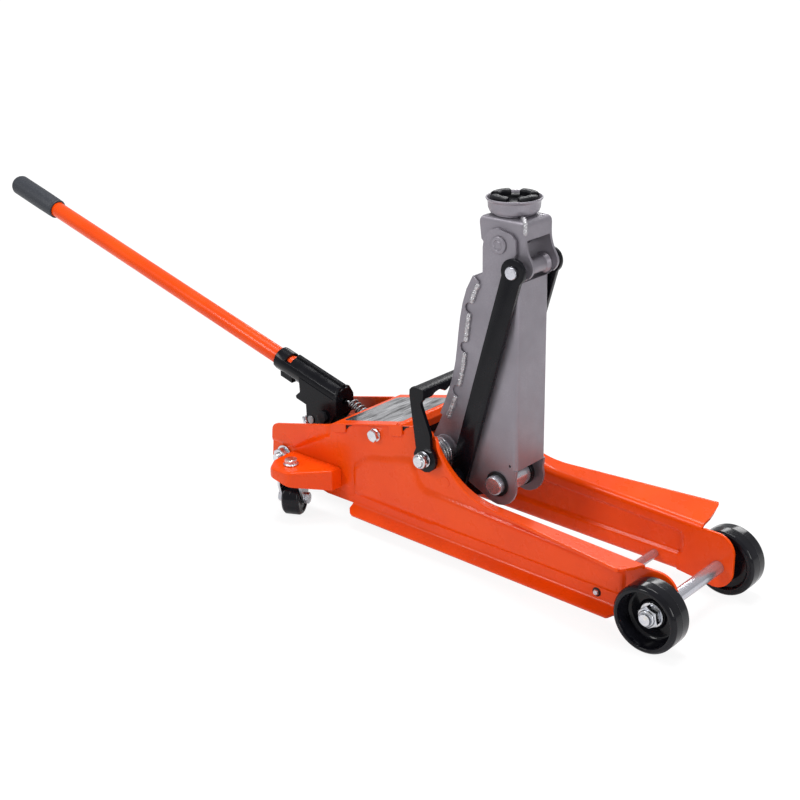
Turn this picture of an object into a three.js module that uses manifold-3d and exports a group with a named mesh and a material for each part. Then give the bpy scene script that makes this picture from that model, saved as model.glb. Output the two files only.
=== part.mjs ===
// Hydraulic trolley jack, two-tonne class, drawn with its lift arm raised.
//
// Axes: +X points to the front wheels, +Y to the jack's left, +Z up, all in millimetres.
// Every piece is drawn with X = 0 at the front axle and Z = 0 on the floor. The last lines
// move the whole jack so that X = 0 is the middle of its length.

import * as THREE from 'three';
import { mergeVertices } from 'three/addons/utils/BufferGeometryUtils.js';
import Module from 'manifold-3d';

const wasm = await Module();
wasm.setup();

// ---------------------------------------------------------------- driving dimensions

const GAP = 0.3; // running and assembly clearance between neighbouring pieces
const CLEAR = 700; // longer than any piece, for cuts that pass right through

// Frame: two pressed side plates, mirrored about the centre plane
const FRAME_HALF = 50; // centre plane to a plate's inner face
const PLATE_T = 3; // side plate sheet
const PLATE_OUT = FRAME_HALF + PLATE_T;
const PRESS = 3; // how far the pressed panel stands out
const TOP_REAR = [-500, 88]; // rear end of the straight top edge
const TOP_SLOPE = 0.236; // rise of the top edge per mm forward
const FRONT_RUN_Z = 71.5; // height of the front run at its front end
const FRONT_RUN_SLOPE = 0.045; // its rise per mm to the rear
const FRONT_RUN_X = -20; // front end of the top flange
const CURVE_R = 88; // concave curve between front run and shoulder
const CURVE_X = -190; // where that curve starts
const CURVE_TURN = THREE.MathUtils.degToRad(66.9); // its slope at the shoulder
const RUN_TILT = Math.atan(FRONT_RUN_SLOPE);
const SHOULDER_X = CURVE_X + CURVE_R * (Math.sin(RUN_TILT) - Math.sin(CURVE_TURN));
const FLANGE_TILT = THREE.MathUtils.degToRad(12); // top flange above the horizontal
const FLANGE_W_FRONT = 39; // top flange width beyond the plate, at the front
const FLANGE_W_MID = 14.7; // at FLANGE_MID_X
const FLANGE_W_REAR = 4; // at the shoulder
const FLANGE_MID_X = -200;
const BEND_R = 4; // inside radius of the top flange bend
const LOBE_R = 20; // rounded front end round the axle
const SKIRT_REAR_X = -386;
const SKIRT_FRONT_X = -45;
const SKIRT_Z_REAR = 27.5; // where the skirt's bend starts, rear and front
const SKIRT_Z_FRONT = 22;
const SKIRT_W = 13; // skirt width beyond the plate
const SKIRT_R = 6; // its inside bend radius
const SKIRT_TILT = THREE.MathUtils.degToRad(30); // skirt below the horizontal
const TIE_ROD = [-70, 25.5]; // tie rod between the plates, low at the front
const TIE_ROD_R = 3;
const LOBE_X = -4; // rounded front end of the plate: its two arcs
const LOBE_LOW_Z = 31;
const LOBE_HIGH_Z = 48.5;

// Front axle and wheels
const WHEEL_R = 33.5;
const WHEEL_W = 26.3;
const WHEEL_RIM = 6; // rim wall at the dished face
const WHEEL_FACE = 84.1; // centre plane to the wheel's outer face
const HUB_FACE = 68; // centre plane to the hub's outer end
const AXLE_R = 6; // ends in the wheels
const AXLE_MID_R = 6.7; // thicker part between the plates
const AXLE_NUT_AF = 19;

// Rear casters
const CASTER_X = -450; // swivel axis
const CASTER_Y = 83;
const CASTER_R = 19.5;
const CASTER_W = 20;
const CASTER_TRAIL = 7;
const CASTER_TURN = THREE.MathUtils.degToRad(-27); // wheel axle from the X axis, as parked
const CASTER_AXLE_R = 3.5;
const FORK_T = 2.5;
const RACE_T = 4.2; // thrust race on top of the fork's crown
const WING_TOP = 61.5; // top of the caster bracket
const WING_T = 3;
const KING_R = 5; // king bolt shank

// Lifting linkage, as a parallelogram in the X-Z plane
const MAIN_PIVOT = [-278, 107.5];
const ARM_HEAD = [-212, 334.5]; // saddle yoke pivot, arm raised
const LEVEL_OFFSET = [21.5, -22]; // from each arm pivot to the levelling link's pivot
const CRANK = [-211, 87]; // crank pin, arm raised
const ARM_HALF = 24.6; // centre plane to the arm's outer face
const ARM_T = 3;
const ARM_FRONT_X = -188; // front web
const ARM_WEB_Z = [106, 300]; // lower and upper end of the front web
const CRANK_R = 10;
const CRANK_EAR_R = 23;
const MAIN_R = 8.5; // main pivot shaft between the plates
const MAIN_END_R = 6; // its threaded ends
const SLEEVE_R = 14;
const LINK_W = 22;
const LINK_T = 5;
const LINK_IN = ARM_HALF + 2.6; // centre plane to a levelling link's inner face
const LINK_PIN_R = 6;

// Saddle
const YOKE_HALF = ARM_HALF - ARM_T - 0.4;
const YOKE_T = 3;
const YOKE_TOP = ARM_HEAD[1] + 26;
const SADDLE_X = -212.7;
const CUP_RIM_R = 27.6;
const CUP_DEPTH = 16.2; // cup's rim above its base
const PAD_RISE = 3; // pad's lugs above the rim
const PAD_R = 24;
const PAD_LUGS = 4;
const PAD_TURN = THREE.MathUtils.degToRad(-12); // first lug from the X axis, as parked
const CUP_RIM_Z = YOKE_TOP + GAP + CUP_DEPTH;
const PAD_TOP = CUP_RIM_Z + PAD_RISE;

// Hydraulic unit
const RAM_Z = 58;
const RAM_R = 12;
const RAM_PIN_X = -276.9; // cross pin, ram extended
const RAM_STROKE = 78;
const CYL_R = 27;
const CYL_BORE = 20;
const HEAD_X = [-372, -332]; // front head block, rear and front face
const HEAD_BOLT = [-351, 113];
const HEAD_BOLT_R = 4;
const BLOCK_X = [-500, -440]; // pump block, rear and front face
const REAR_BOLT = [-490.5, 52.5];
const REAR_BOLT_R = 5;
const PUMP_X = -486;
const PUMP_R = 5;

// Handle socket, handle and carrying handle
const SOCKET_PIVOT = [-466, 92];
const ROLLER = [-486, 83.5];
const ROLLER_R = 6.5;
const HANDLE_AXIS_AT = [-553, 143.6]; // a point on the handle's axis
const HANDLE_RISE = Math.atan(0.2762); // handle above the horizontal, as parked
const TUBE_R = 10;
const TUBE_END_X = [-470, -1000]; // handle tube, in the socket and under the grip
const SOCKET_R = 13.5;
const SOCKET_X = [-448, -545];
const SPRING_EYE_Z = 111; // return spring's eye in the socket's front plate
const CHEEK_IN = 11.3;
const CHEEK_T = 3;
const GRIP_R = 13;
const GRIP_X = [-958, -1042];
const CARRY_T = 4;
const CARRY_IN = PLATE_OUT + 2.6; // centre plane to a carrying arm's inner face
const CARRY_TOP = [-286.5, 180.5];

// Cover
const COVER_T = 2;
const COVER_X = [-412, -322];

// ---------------------------------------------------------------- finishes

const paint = { color: 0xe8521f, roughness: 0.32, metalness: 0 };
const silver = { color: 0x8f8b93, roughness: 0.45, metalness: 0.35 };
const black = { color: 0x17191d, roughness: 0.45, metalness: 0 };
const zinc = { color: 0xc9ccd0, roughness: 0.28, metalness: 1 };
const steel = { color: 0x7d7f83, roughness: 0.4, metalness: 1 };
const nylon = { color: 0x101114, roughness: 0.25, metalness: 0 };
const rubber = { color: 0x141519, roughness: 0.75, metalness: 0 };

// ---------------------------------------------------------------- solid helpers

const AXIS_X = new THREE.Vector3(1, 0, 0);
const AXIS_Y = new THREE.Vector3(0, 1, 0);
const AXIS_Z = new THREE.Vector3(0, 0, 1);

function signedVolume(position, index) {
  const a = new THREE.Vector3();
  const b = new THREE.Vector3();
  const c = new THREE.Vector3();
  let volume = 0;
  for (let i = 0; i < index.length; i += 3) {
    a.fromBufferAttribute(position, index[i]);
    b.fromBufferAttribute(position, index[i + 1]);
    c.fromBufferAttribute(position, index[i + 2]);
    volume += a.dot(b.cross(c)) / 6;
  }
  return volume;
}

// A closed three.js geometry as a solid, turned outside out if it was drawn the other way.
function solid(geometry) {
  geometry.deleteAttribute('normal');
  geometry.deleteAttribute('uv');
  const merged = mergeVertices(geometry, 1e-4);
  const corners = merged.index.array;
  const whole = [];
  for (let i = 0; i < corners.length; i += 3) {
    const [a, b, c] = corners.slice(i, i + 3);
    if (a !== b && b !== c && c !== a) whole.push(a, b, c);
  }
  const index = Uint32Array.from(whole);
  if (signedVolume(merged.attributes.position, index) < 0) index.reverse();
  return new wasm.Manifold(new wasm.Mesh({
    numProp: 3,
    vertProperties: Float32Array.from(merged.attributes.position.array),
    triVerts: index,
  }));
}

const join = (first, ...rest) => rest.reduce((sum, piece) => sum.add(piece), first);
const cut = (first, ...rest) => rest.reduce((left, piece) => left.subtract(piece), first);

function outline(points) {
  const shape = new THREE.Shape();
  points.forEach(([x, y], i) => (i ? shape.lineTo(x, y) : shape.moveTo(x, y)));
  shape.closePath();
  return shape;
}

// A closed outline with each corner rounded; a corner is [x, y, radius].
function rounded(corners) {
  const shape = new THREE.Shape();
  const count = corners.length;
  corners.forEach(([x, y, radius = 0], i) => {
    const here = new THREE.Vector2(x, y);
    const before = new THREE.Vector2(...corners[(i + count - 1) % count].slice(0, 2));
    const after = new THREE.Vector2(...corners[(i + 1) % count].slice(0, 2));
    const toBefore = before.sub(here).normalize();
    const toAfter = after.sub(here).normalize();
    const half = Math.acos(THREE.MathUtils.clamp(toBefore.dot(toAfter), -1, 1)) / 2;
    const reach = radius / Math.tan(half);
    const start = here.clone().addScaledVector(toBefore, reach);
    const end = here.clone().addScaledVector(toAfter, reach);
    if (i) shape.lineTo(start.x, start.y);
    else shape.moveTo(start.x, start.y);
    if (radius > 0) shape.quadraticCurveTo(x, y, end.x, end.y);
  });
  shape.closePath();
  return shape;
}

function circle(x, y, radius) {
  const shape = new THREE.Shape();
  shape.absarc(x, y, radius, 0, Math.PI * 2, false);
  return shape;
}

const extrude = (shape, depth, curveSegments, bevel = {}) =>
  new THREE.ExtrudeGeometry(shape, { depth, curveSegments, bevelEnabled: false, ...bevel });

// An outline in X-Z, from y0 to y1.
function prismY(shape, y0, y1, curveSegments = 6) {
  const geometry = extrude(shape, y1 - y0, curveSegments);
  return solid(geometry.rotateX(Math.PI / 2).translate(0, y1, 0));
}

// An outline in X-Y, from z0 to z1.
function prismZ(shape, z0, z1, curveSegments = 6) {
  return solid(extrude(shape, z1 - z0, curveSegments).translate(0, 0, z0));
}

// An outline in Y-Z, from x0 to x1.
function prismX(shape, x0, x1, curveSegments = 6) {
  const turn = new THREE.Matrix4().makeBasis(AXIS_Y, AXIS_Z, AXIS_X);
  return solid(extrude(shape, x1 - x0, curveSegments).applyMatrix4(turn).translate(x0, 0, 0));
}

function block(x0, x1, y0, y1, z0, z1) {
  const geometry = new THREE.BoxGeometry(x1 - x0, y1 - y0, z1 - z0);
  return solid(geometry.translate((x0 + x1) / 2, (y0 + y1) / 2, (z0 + z1) / 2));
}

function place(geometry, origin, axis) {
  const turn = new THREE.Quaternion().setFromUnitVectors(AXIS_Y, axis.clone().normalize());
  return geometry.applyQuaternion(turn).translate(origin.x, origin.y, origin.z);
}

const widest = (profile) => Math.max(...profile.map(([r]) => r));
const facets = (radius) => (radius < 4 ? 8 : radius < 8.5 ? 12 : radius < 16 ? 14 : 18);

// A turned piece: profile points are [radius, distance along the axis].
function turned(profile, origin, axis, segments = facets(widest(profile))) {
  const points = profile.map(([r, h]) => new THREE.Vector2(r, h));
  if (profile[0][0] > 0) points.push(points[0].clone());
  return solid(place(new THREE.LatheGeometry(points, segments), origin, axis));
}

function rod(radius, from, to, segments = facets(radius)) {
  const axis = to.clone().sub(from);
  const length = axis.length();
  const geometry = new THREE.CylinderGeometry(radius, radius, length, segments);
  return solid(place(geometry.translate(0, length / 2, 0), from, axis));
}

// A rod along Y through a point of the X-Z plane.
const rodY = ([x, z], radius, y0, y1) =>
  rod(radius, new THREE.Vector3(x, y0, z), new THREE.Vector3(x, y1, z));

// A turned piece along Y through a point of the X-Z plane.
const turnedY = ([x, z], profile, segments) =>
  turned(profile, new THREE.Vector3(x, 0, z), AXIS_Y, segments);

// The whole profile of a piece that is the same on both sides of the centre plane, from the
// half on the left that ends on the axis.
const bothWays = (half) => [...half.map(([r, y]) => [r, -y]).reverse(), ...half];

// A hexagon across flats, along an axis.
function hexBar(acrossFlats, origin, axis, length) {
  const radius = acrossFlats / Math.sqrt(3);
  const geometry = new THREE.CylinderGeometry(radius, radius, length, 6);
  return solid(place(geometry.translate(0, length / 2, 0), origin, axis));
}

// A flat block bent into shape: at(u, v, w) gives the place of each point of a unit block
// divided into nu by nv cells and one cell thick.
function formed(nu, nv, at) {
  const geometry = new THREE.BoxGeometry(1, 1, 1, nu, nv, 1);
  const position = geometry.attributes.position;
  for (let i = 0; i < position.count; i += 1) {
    const point = at(position.getX(i) + 0.5, position.getY(i) + 0.5, position.getZ(i) + 0.5);
    position.setXYZ(i, ...point);
  }
  return solid(geometry);
}

// A round wire along a helix about the line from start to end.
function coil(start, end, radius, wire, turns, stepsPerTurn = 6) {
  const along = end.clone().sub(start);
  const unit = along.clone().normalize();
  const side = new THREE.Vector3().crossVectors(AXIS_Y, unit).normalize();
  const other = new THREE.Vector3().crossVectors(unit, side);
  const points = [];
  const steps = Math.round(turns * stepsPerTurn);
  for (let i = 0; i <= steps; i += 1) {
    const angle = (i / stepsPerTurn) * Math.PI * 2;
    const point = start.clone().addScaledVector(along, i / steps);
    point.addScaledVector(side, radius * Math.cos(angle));
    points.push(point.addScaledVector(other, radius * Math.sin(angle)));
  }
  const path = new THREE.CatmullRomCurve3(points);
  return solid(new THREE.ExtrudeGeometry(circle(0, 0, wire), {
    steps, curveSegments: 2, bevelEnabled: false, extrudePath: path,
  }));
}

const jack = new THREE.Group();

// Adds a solid as a named mesh; mirrored gives its twin across the centre plane.
function add(name, piece, finish, mirrored = false) {
  const mesh = piece.getMesh();
  const geometry = new THREE.BufferGeometry();
  geometry.setAttribute('position', new THREE.BufferAttribute(mesh.vertProperties, 3));
  geometry.setIndex(new THREE.BufferAttribute(mesh.triVerts, 1));
  geometry.computeVertexNormals();
  const part = new THREE.Mesh(geometry, new THREE.MeshStandardMaterial(finish));
  part.name = name;
  if (mirrored) part.scale.y = -1;
  jack.add(part);
}

// The same piece on both sides: drawn on the left (+Y), mirrored to the right.
function addPair(name, piece, finish) {
  add(`${name}_left`, piece, finish);
  add(`${name}_right`, piece, finish, true);
}

const shifted = ([x, z], [dx, dz]) => [x + dx, z + dz];
const LINK_LOW = shifted(MAIN_PIVOT, LEVEL_OFFSET);
const LINK_HIGH = shifted(ARM_HEAD, LEVEL_OFFSET);
const topEdge = (x) => TOP_REAR[1] + (x - TOP_REAR[0]) * TOP_SLOPE;

// ---------------------------------------------------------------- side plates

const BEND_OUT = BEND_R + PLATE_T; // outside radius of the top flange's bend
const BEND_SWEEP = Math.PI / 2 - FLANGE_TILT;
const BEND_SET = BEND_OUT * Math.tan(BEND_SWEEP / 2); // bend's start, below its apex line
const runZ = (x) => FRONT_RUN_Z + (FRONT_RUN_X - x) * FRONT_RUN_SLOPE;
const CURVE_CENTRE = [
  CURVE_X + CURVE_R * Math.sin(RUN_TILT),
  runZ(CURVE_X) + CURVE_R * Math.cos(RUN_TILT),
];
const FLANGE_CELLS = 9;
const CURVE_CELLS = 6; // cells of the flange that lie in the concave curve

// The apex line of the flange bend, from the shoulder (0) to the front end (1), and its
// normal, which points up and to the inside of the curve.
function flangeLine(u) {
  const cell = Math.round(u * FLANGE_CELLS);
  if (cell < CURVE_CELLS) {
    const angle = THREE.MathUtils.lerp(CURVE_TURN, RUN_TILT, cell / CURVE_CELLS);
    const normal = [Math.sin(angle), Math.cos(angle)];
    return {
      x: CURVE_CENTRE[0] - CURVE_R * normal[0], z: CURVE_CENTRE[1] - CURVE_R * normal[1], normal,
    };
  }
  const share = (cell - CURVE_CELLS) / (FLANGE_CELLS - CURVE_CELLS);
  const x = THREE.MathUtils.lerp(CURVE_X, FRONT_RUN_X, share);
  return { x, z: runZ(x), normal: [Math.sin(RUN_TILT), Math.cos(RUN_TILT)] };
}

// Width of the top flange beyond the plate at a place along the jack.
function flangeWidth(x) {
  if (x > FLANGE_MID_X) {
    return THREE.MathUtils.mapLinear(
      x, FLANGE_MID_X, FRONT_RUN_X, FLANGE_W_MID, FLANGE_W_FRONT,
    );
  }
  return THREE.MathUtils.mapLinear(x, SHOULDER_X, FLANGE_MID_X, FLANGE_W_REAR, FLANGE_W_MID);
}

function topFlange() {
  const bendCells = 2;
  const cells = bendCells + 2;
  const bendEnd = FRAME_HALF + BEND_OUT * (1 - Math.cos(BEND_SWEEP));
  const sheet = formed(FLANGE_CELLS, cells, (u, v, w) => {
    const { x, z, normal } = flangeLine(u);
    const node = Math.round(v * cells);
    const sweep = BEND_SWEEP * THREE.MathUtils.clamp((node - 1) / bendCells, 0, 1);
    const radius = BEND_OUT - PLATE_T * w;
    let out = FRAME_HALF + BEND_OUT - radius * Math.cos(sweep);
    let up = radius * Math.sin(sweep) - BEND_SET;
    if (node === 0) up -= PLATE_T;
    if (node === cells) {
      const reach = PLATE_OUT + flangeWidth(x) - bendEnd;
      out += reach;
      up += reach * Math.tan(FLANGE_TILT);
    }
    return [x + up * normal[0], out, z + up * normal[1]];
  });
  const cornerR = 7;
  const tip = PLATE_OUT + FLANGE_W_FRONT + PLATE_T;
  const keep = rounded([
    [SHOULDER_X * 1.2, 0], [FRONT_RUN_X + 2, 0], [FRONT_RUN_X + 2, FRAME_HALF],
    [FRONT_RUN_X - 3, tip - PLATE_T, cornerR], [SHOULDER_X * 1.2, tip - PLATE_T],
  ]);
  return sheet.intersect(prismZ(keep, 0, 2 * PAD_TOP, 4));
}

function skirt() {
  const bendCells = 2;
  const cells = bendCells + 2;
  const sweepEnd = Math.PI / 2 - SKIRT_TILT;
  const bendEnd = PLATE_OUT + SKIRT_R * (1 - Math.cos(sweepEnd));
  const sheet = formed(1, cells, (u, v, w) => {
    const x = THREE.MathUtils.lerp(SKIRT_REAR_X, SKIRT_FRONT_X, u);
    const start = THREE.MathUtils.lerp(SKIRT_Z_REAR, SKIRT_Z_FRONT, u);
    const node = Math.round(v * cells);
    const sweep = sweepEnd * THREE.MathUtils.clamp((node - 1) / bendCells, 0, 1);
    const radius = SKIRT_R + PLATE_T * w;
    let out = PLATE_OUT + SKIRT_R - radius * Math.cos(sweep);
    let z = start - radius * Math.sin(sweep);
    if (node === 0) z += PLATE_T;
    if (node === cells) {
      const reach = PLATE_OUT + SKIRT_W - bendEnd;
      out += reach;
      z -= reach * Math.tan(SKIRT_TILT);
    }
    return [x, out, z];
  });
  const chamfer = 6;
  const edge = PLATE_OUT + SKIRT_W + PLATE_T;
  const keep = outline([
    [SKIRT_REAR_X, 0], [SKIRT_FRONT_X, 0], [SKIRT_FRONT_X, edge - chamfer],
    [SKIRT_FRONT_X - chamfer, edge], [SKIRT_REAR_X + chamfer, edge],
    [SKIRT_REAR_X, edge - chamfer],
  ]);
  return sheet.intersect(prismZ(keep, 0, 2 * SKIRT_Z_REAR));
}

function wallOutline() {
  const lobeTop = LOBE_HIGH_Z + LOBE_R;
  const shape = new THREE.Shape();
  shape.moveTo(FRONT_RUN_X, lobeTop);
  shape.lineTo(LOBE_X, lobeTop);
  shape.absarc(LOBE_X, LOBE_HIGH_Z, LOBE_R, Math.PI / 2, 0, true);
  shape.absarc(LOBE_X, LOBE_LOW_Z, LOBE_R, 0, -Math.PI / 2, true);
  shape.lineTo(SKIRT_FRONT_X, LOBE_LOW_Z - LOBE_R + 5);
  shape.lineTo(SKIRT_FRONT_X, SKIRT_Z_FRONT);
  shape.lineTo(SKIRT_REAR_X, SKIRT_Z_REAR);
  shape.lineTo(SKIRT_REAR_X, SKIRT_Z_REAR - 4);
  shape.lineTo(CASTER_X + 25, SKIRT_Z_REAR - 4);
  const rearX = TOP_REAR[0] - 11;
  shape.lineTo(rearX + 8, REAR_BOLT[1] - 14);
  shape.quadraticCurveTo(rearX, REAR_BOLT[1] - 13, rearX, REAR_BOLT[1] - 5);
  shape.lineTo(rearX + 3, TOP_REAR[1] - 9);
  shape.quadraticCurveTo(rearX + 4, topEdge(rearX + 4), TOP_REAR[0], TOP_REAR[1]);
  const peakX = SHOULDER_X - 35;
  shape.lineTo(peakX, topEdge(peakX));
  shape.quadraticCurveTo(peakX + 18, topEdge(peakX + 18) + 1, SHOULDER_X - 7, topEdge(peakX));
  for (let cell = 0; cell <= FLANGE_CELLS; cell += 1) {
    const { x, z, normal } = flangeLine(cell / FLANGE_CELLS);
    shape.lineTo(x - BEND_SET * normal[0], z - BEND_SET * normal[1]);
  }
  shape.closePath();
  return shape;
}

// A field of the sheet pressed outward by `depth`: what stands out, and what is sunk inside.
// The outline is the flat crest; the flanks slope away from it at 45 degrees.
function pressing(shape, depth, clip) {
  const bevel = {
    bevelEnabled: true, bevelSegments: 1, bevelThickness: depth, bevelSize: depth,
  };
  const height = PLATE_T;
  const field = () => extrude(shape, height, 3, bevel).rotateX(Math.PI / 2);
  const top = (face) => solid(field().translate(0, face - depth, 0));
  const outside = block(-CLEAR, CLEAR, FRAME_HALF + PLATE_T / 2, 2 * PLATE_OUT, 0, CLEAR);
  return {
    pad: top(PLATE_OUT + depth).intersect(outside).intersect(clip),
    pocket: top(FRAME_HALF + depth),
  };
}

function sidePlate() {
  const clip = prismY(wallOutline(), 0, 2 * PLATE_OUT, 4);
  const wall = prismY(wallOutline(), FRAME_HALF, PLATE_OUT, 4);
  const creaseLow = SKIRT_Z_REAR + 12;
  const creaseFront = SKIRT_Z_FRONT + 13.5;
  const panel = pressing(rounded([
    [SKIRT_REAR_X + 6, creaseLow, 2], [SKIRT_REAR_X + 6, 66.5, 9], [SKIRT_REAR_X + 25, 81, 11],
    [-302, 95, 4], [-290, 67, 24], [-43, 55.5, 4], [-43, creaseFront, 3],
  ]), PRESS, clip);
  const rearField = pressing(rounded([
    [TOP_REAR[0] - 30, 68], [REAR_BOLT[0] + 15.5, 68, 10], [REAR_BOLT[0] + 69.5, 97, 3],
    [REAR_BOLT[0] + 67.5, 130], [TOP_REAR[0] - 30, 130],
  ]), PRESS - 1, clip);
  const bores = [
    [[0, WHEEL_R], AXLE_R], [MAIN_PIVOT, MAIN_END_R], [LINK_LOW, LINK_PIN_R],
    [HEAD_BOLT, HEAD_BOLT_R], [REAR_BOLT, REAR_BOLT_R], [TIE_ROD, TIE_ROD_R],
  ].map(([at, radius]) => rodY(at, radius + GAP, FRAME_HALF - 5, PLATE_OUT + 5));
  return cut(
    join(wall, panel.pad, rearField.pad, topFlange(), skirt()),
    panel.pocket, rearField.pocket, ...bores,
  );
}

addPair('side_plate', sidePlate(), paint);

// ---------------------------------------------------------------- front axle and wheels

const frontAxle = turnedY([0, WHEEL_R], [
  [0, -HUB_FACE - 14], [AXLE_R - 1, -HUB_FACE - 14], [AXLE_R, -HUB_FACE - 13],
  [AXLE_R, -FRAME_HALF + GAP], [AXLE_MID_R, -FRAME_HALF + GAP],
  [AXLE_MID_R, FRAME_HALF - GAP], [AXLE_R, FRAME_HALF - GAP],
  [AXLE_R, HUB_FACE + 13], [AXLE_R - 1, HUB_FACE + 14], [0, HUB_FACE + 14],
]);
add('front_axle', frontAxle, zinc);

const WHEEL_IN = WHEEL_FACE - WHEEL_W;
const WHEEL_WEB = 8; // web at the bottom of the dish
const frontWheel = turnedY([0, WHEEL_R], [
  [AXLE_R + GAP, PLATE_OUT + 2 * GAP], [AXLE_R + 4, PLATE_OUT + 2 * GAP],
  [AXLE_R + 4, WHEEL_IN + 3], [25, WHEEL_IN + 3],
  [27, WHEEL_IN], [WHEEL_R - 2, WHEEL_IN], [WHEEL_R, WHEEL_IN + 2],
  [WHEEL_R, WHEEL_FACE - 3], [WHEEL_R - 3, WHEEL_FACE],
  [WHEEL_R - WHEEL_RIM, WHEEL_FACE], [WHEEL_R - WHEEL_RIM - 1.5, WHEEL_IN + WHEEL_WEB + 2],
  [WHEEL_R - WHEEL_RIM - 3.5, WHEEL_IN + WHEEL_WEB], [13, WHEEL_IN + WHEEL_WEB],
  [12, HUB_FACE], [AXLE_R + GAP, HUB_FACE],
], 18);
addPair('front_wheel', frontWheel, nylon);

// A self-locking nut on a stud along +Y: hexagon and round collar over a washer.
function lockNut([x, z], seat, acrossFlats, stud, height, washerR) {
  const at = new THREE.Vector3(x, seat + 1.5, z);
  const collar = acrossFlats * 0.44;
  const washer = turnedY([x, z], [
    [0, seat], [washerR, seat], [washerR, seat + 1.6], [0, seat + 1.6],
  ]);
  const crown = turnedY([x, z], [
    [0, seat + 1], [collar, seat + 1], [collar, seat + height],
    [collar - 1.5, seat + height + 2.5], [0, seat + height + 2.5],
  ]);
  const body = hexBar(acrossFlats, at, AXIS_Y, height - 1.5);
  const bore = rodY([x, z], stud + GAP, seat - 1, seat + height + 3);
  return cut(join(washer, body, crown), bore);
}

addPair('axle_nut', lockNut([0, WHEEL_R], HUB_FACE + GAP, AXLE_NUT_AF, AXLE_R, 9, 12), zinc);

// Tie rod low between the plates: shouldered inside them, its ends peened over outside.
const tieRod = turnedY(TIE_ROD, [
  [0, -PLATE_OUT - 3], [TIE_ROD_R, -PLATE_OUT - 3], [TIE_ROD_R, -FRAME_HALF + GAP],
  [TIE_ROD_R + 1.5, -FRAME_HALF + GAP], [TIE_ROD_R + 1.5, FRAME_HALF - GAP],
  [TIE_ROD_R, FRAME_HALF - GAP], [TIE_ROD_R, PLATE_OUT + 3], [0, PLATE_OUT + 3],
]);
add('front_tie_rod', tieRod, zinc);

// ---------------------------------------------------------------- casters

const RIM_LOW_REAR = 51; // lower edge of the bracket's rim, at its rear and front
const RIM_LOW_FRONT = 38;
const WING = [
  [-478, PLATE_OUT + GAP], [-475, 86, 10], [-463, 104, 12], [-436, 103.5, 14], [-403, 68, 4],
  [-403, PLATE_OUT + GAP],
];

const atCaster = (z) => new THREE.Vector3(CASTER_X, CASTER_Y, z);

// Caster bracket: a pressed wing outside the plate with its outer rim turned down.
function casterBracket() {
  const edge = 3;
  const shell = extrude(rounded(WING), WING_TOP - RIM_LOW_FRONT + edge, 3, {
    bevelEnabled: true, bevelSegments: 2, bevelThickness: edge, bevelSize: edge,
    bevelOffset: -edge,
  }).translate(0, 0, RIM_LOW_FRONT - 2 * edge);
  const inner = WING.map(([x, y, r = 0]) => [
    x < CASTER_X ? x + WING_T : x - WING_T, y > 60 ? y - WING_T : PLATE_OUT - 5, r * 0.8,
  ]);
  const hollow = prismZ(rounded(inner), 0, WING_TOP - WING_T, 3);
  const below = outline([
    [-500, 0], [-380, 0], [-380, RIM_LOW_FRONT - 4], [-403, RIM_LOW_FRONT],
    [-465, RIM_LOW_REAR], [-500, RIM_LOW_REAR + 5],
  ]);
  return cut(
    solid(shell),
    hollow,
    prismY(below, 0, CLEAR),
    block(-CLEAR, CLEAR, 0, PLATE_OUT + GAP, 0, CLEAR),
    rod(KING_R + GAP, atCaster(0), atCaster(CLEAR)),
  );
}

addPair('caster_bracket', casterBracket(), paint);

const CROWN_TOP = WING_TOP - WING_T - RACE_T - GAP;
const NUT_T = 5;

// King bolt: hexagon head with washer face above the bracket, nut below the fork's crown.
function kingBolt() {
  const nutTop = CROWN_TOP - FORK_T - GAP;
  const seat = WING_TOP + GAP;
  return join(
    rod(KING_R, atCaster(nutTop - NUT_T), atCaster(seat + 2)),
    turned([[0, 0], [8.5, 0], [8.5, 1.5], [0, 1.5]], atCaster(seat), AXIS_Z),
    hexBar(13, atCaster(seat + 1), AXIS_Z, 5.5),
    hexBar(15, atCaster(nutTop - NUT_T), AXIS_Z, NUT_T),
  );
}

addPair('king_bolt', kingBolt(), zinc);

// The swivelling parts are drawn with the wheel's axle along Y at the origin's swivel axis,
// trailing toward -X, then turned to the parked direction.
const PARKED = Math.PI / 2 + CASTER_TURN;
const FORK_IN = CASTER_W / 2 + 0.6;
const FORK_OUT = FORK_IN + FORK_T;

function parked(piece) {
  const turn = new THREE.Matrix4().makeRotationZ(PARKED);
  turn.setPosition(CASTER_X, CASTER_Y, 0);
  return piece.transform(turn.elements);
}

function casterFork() {
  const bossR = 7.5;
  const leg = rounded([
    [-11, CROWN_TOP, 2], [11, CROWN_TOP, 2], [11, CROWN_TOP - 14, 3],
    [-CASTER_TRAIL + bossR, CASTER_R - 2, bossR], [-CASTER_TRAIL, CASTER_R - bossR, 2],
    [-CASTER_TRAIL - bossR, CASTER_R - 2, bossR], [-17, CROWN_TOP - 18, 4],
    [-11, CROWN_TOP - 9, 3],
  ]);
  const between = block(-40, 40, -FORK_IN, FORK_IN, 0, CROWN_TOP - FORK_T);
  const race = turned([
    [0, -1], [12.5, -1], [13, 1.4], [13, RACE_T], [0, RACE_T],
  ], new THREE.Vector3(0, 0, CROWN_TOP), AXIS_Z);
  return cut(
    join(prismY(leg, -FORK_OUT, FORK_OUT, 2), race),
    between,
    rodY([-CASTER_TRAIL, CASTER_R], CASTER_AXLE_R + GAP, -30, 30),
    rod(KING_R + GAP, new THREE.Vector3(0, 0, 0), new THREE.Vector3(0, 0, CLEAR)),
  );
}

addPair('caster_fork', parked(casterFork()), zinc);

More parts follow.
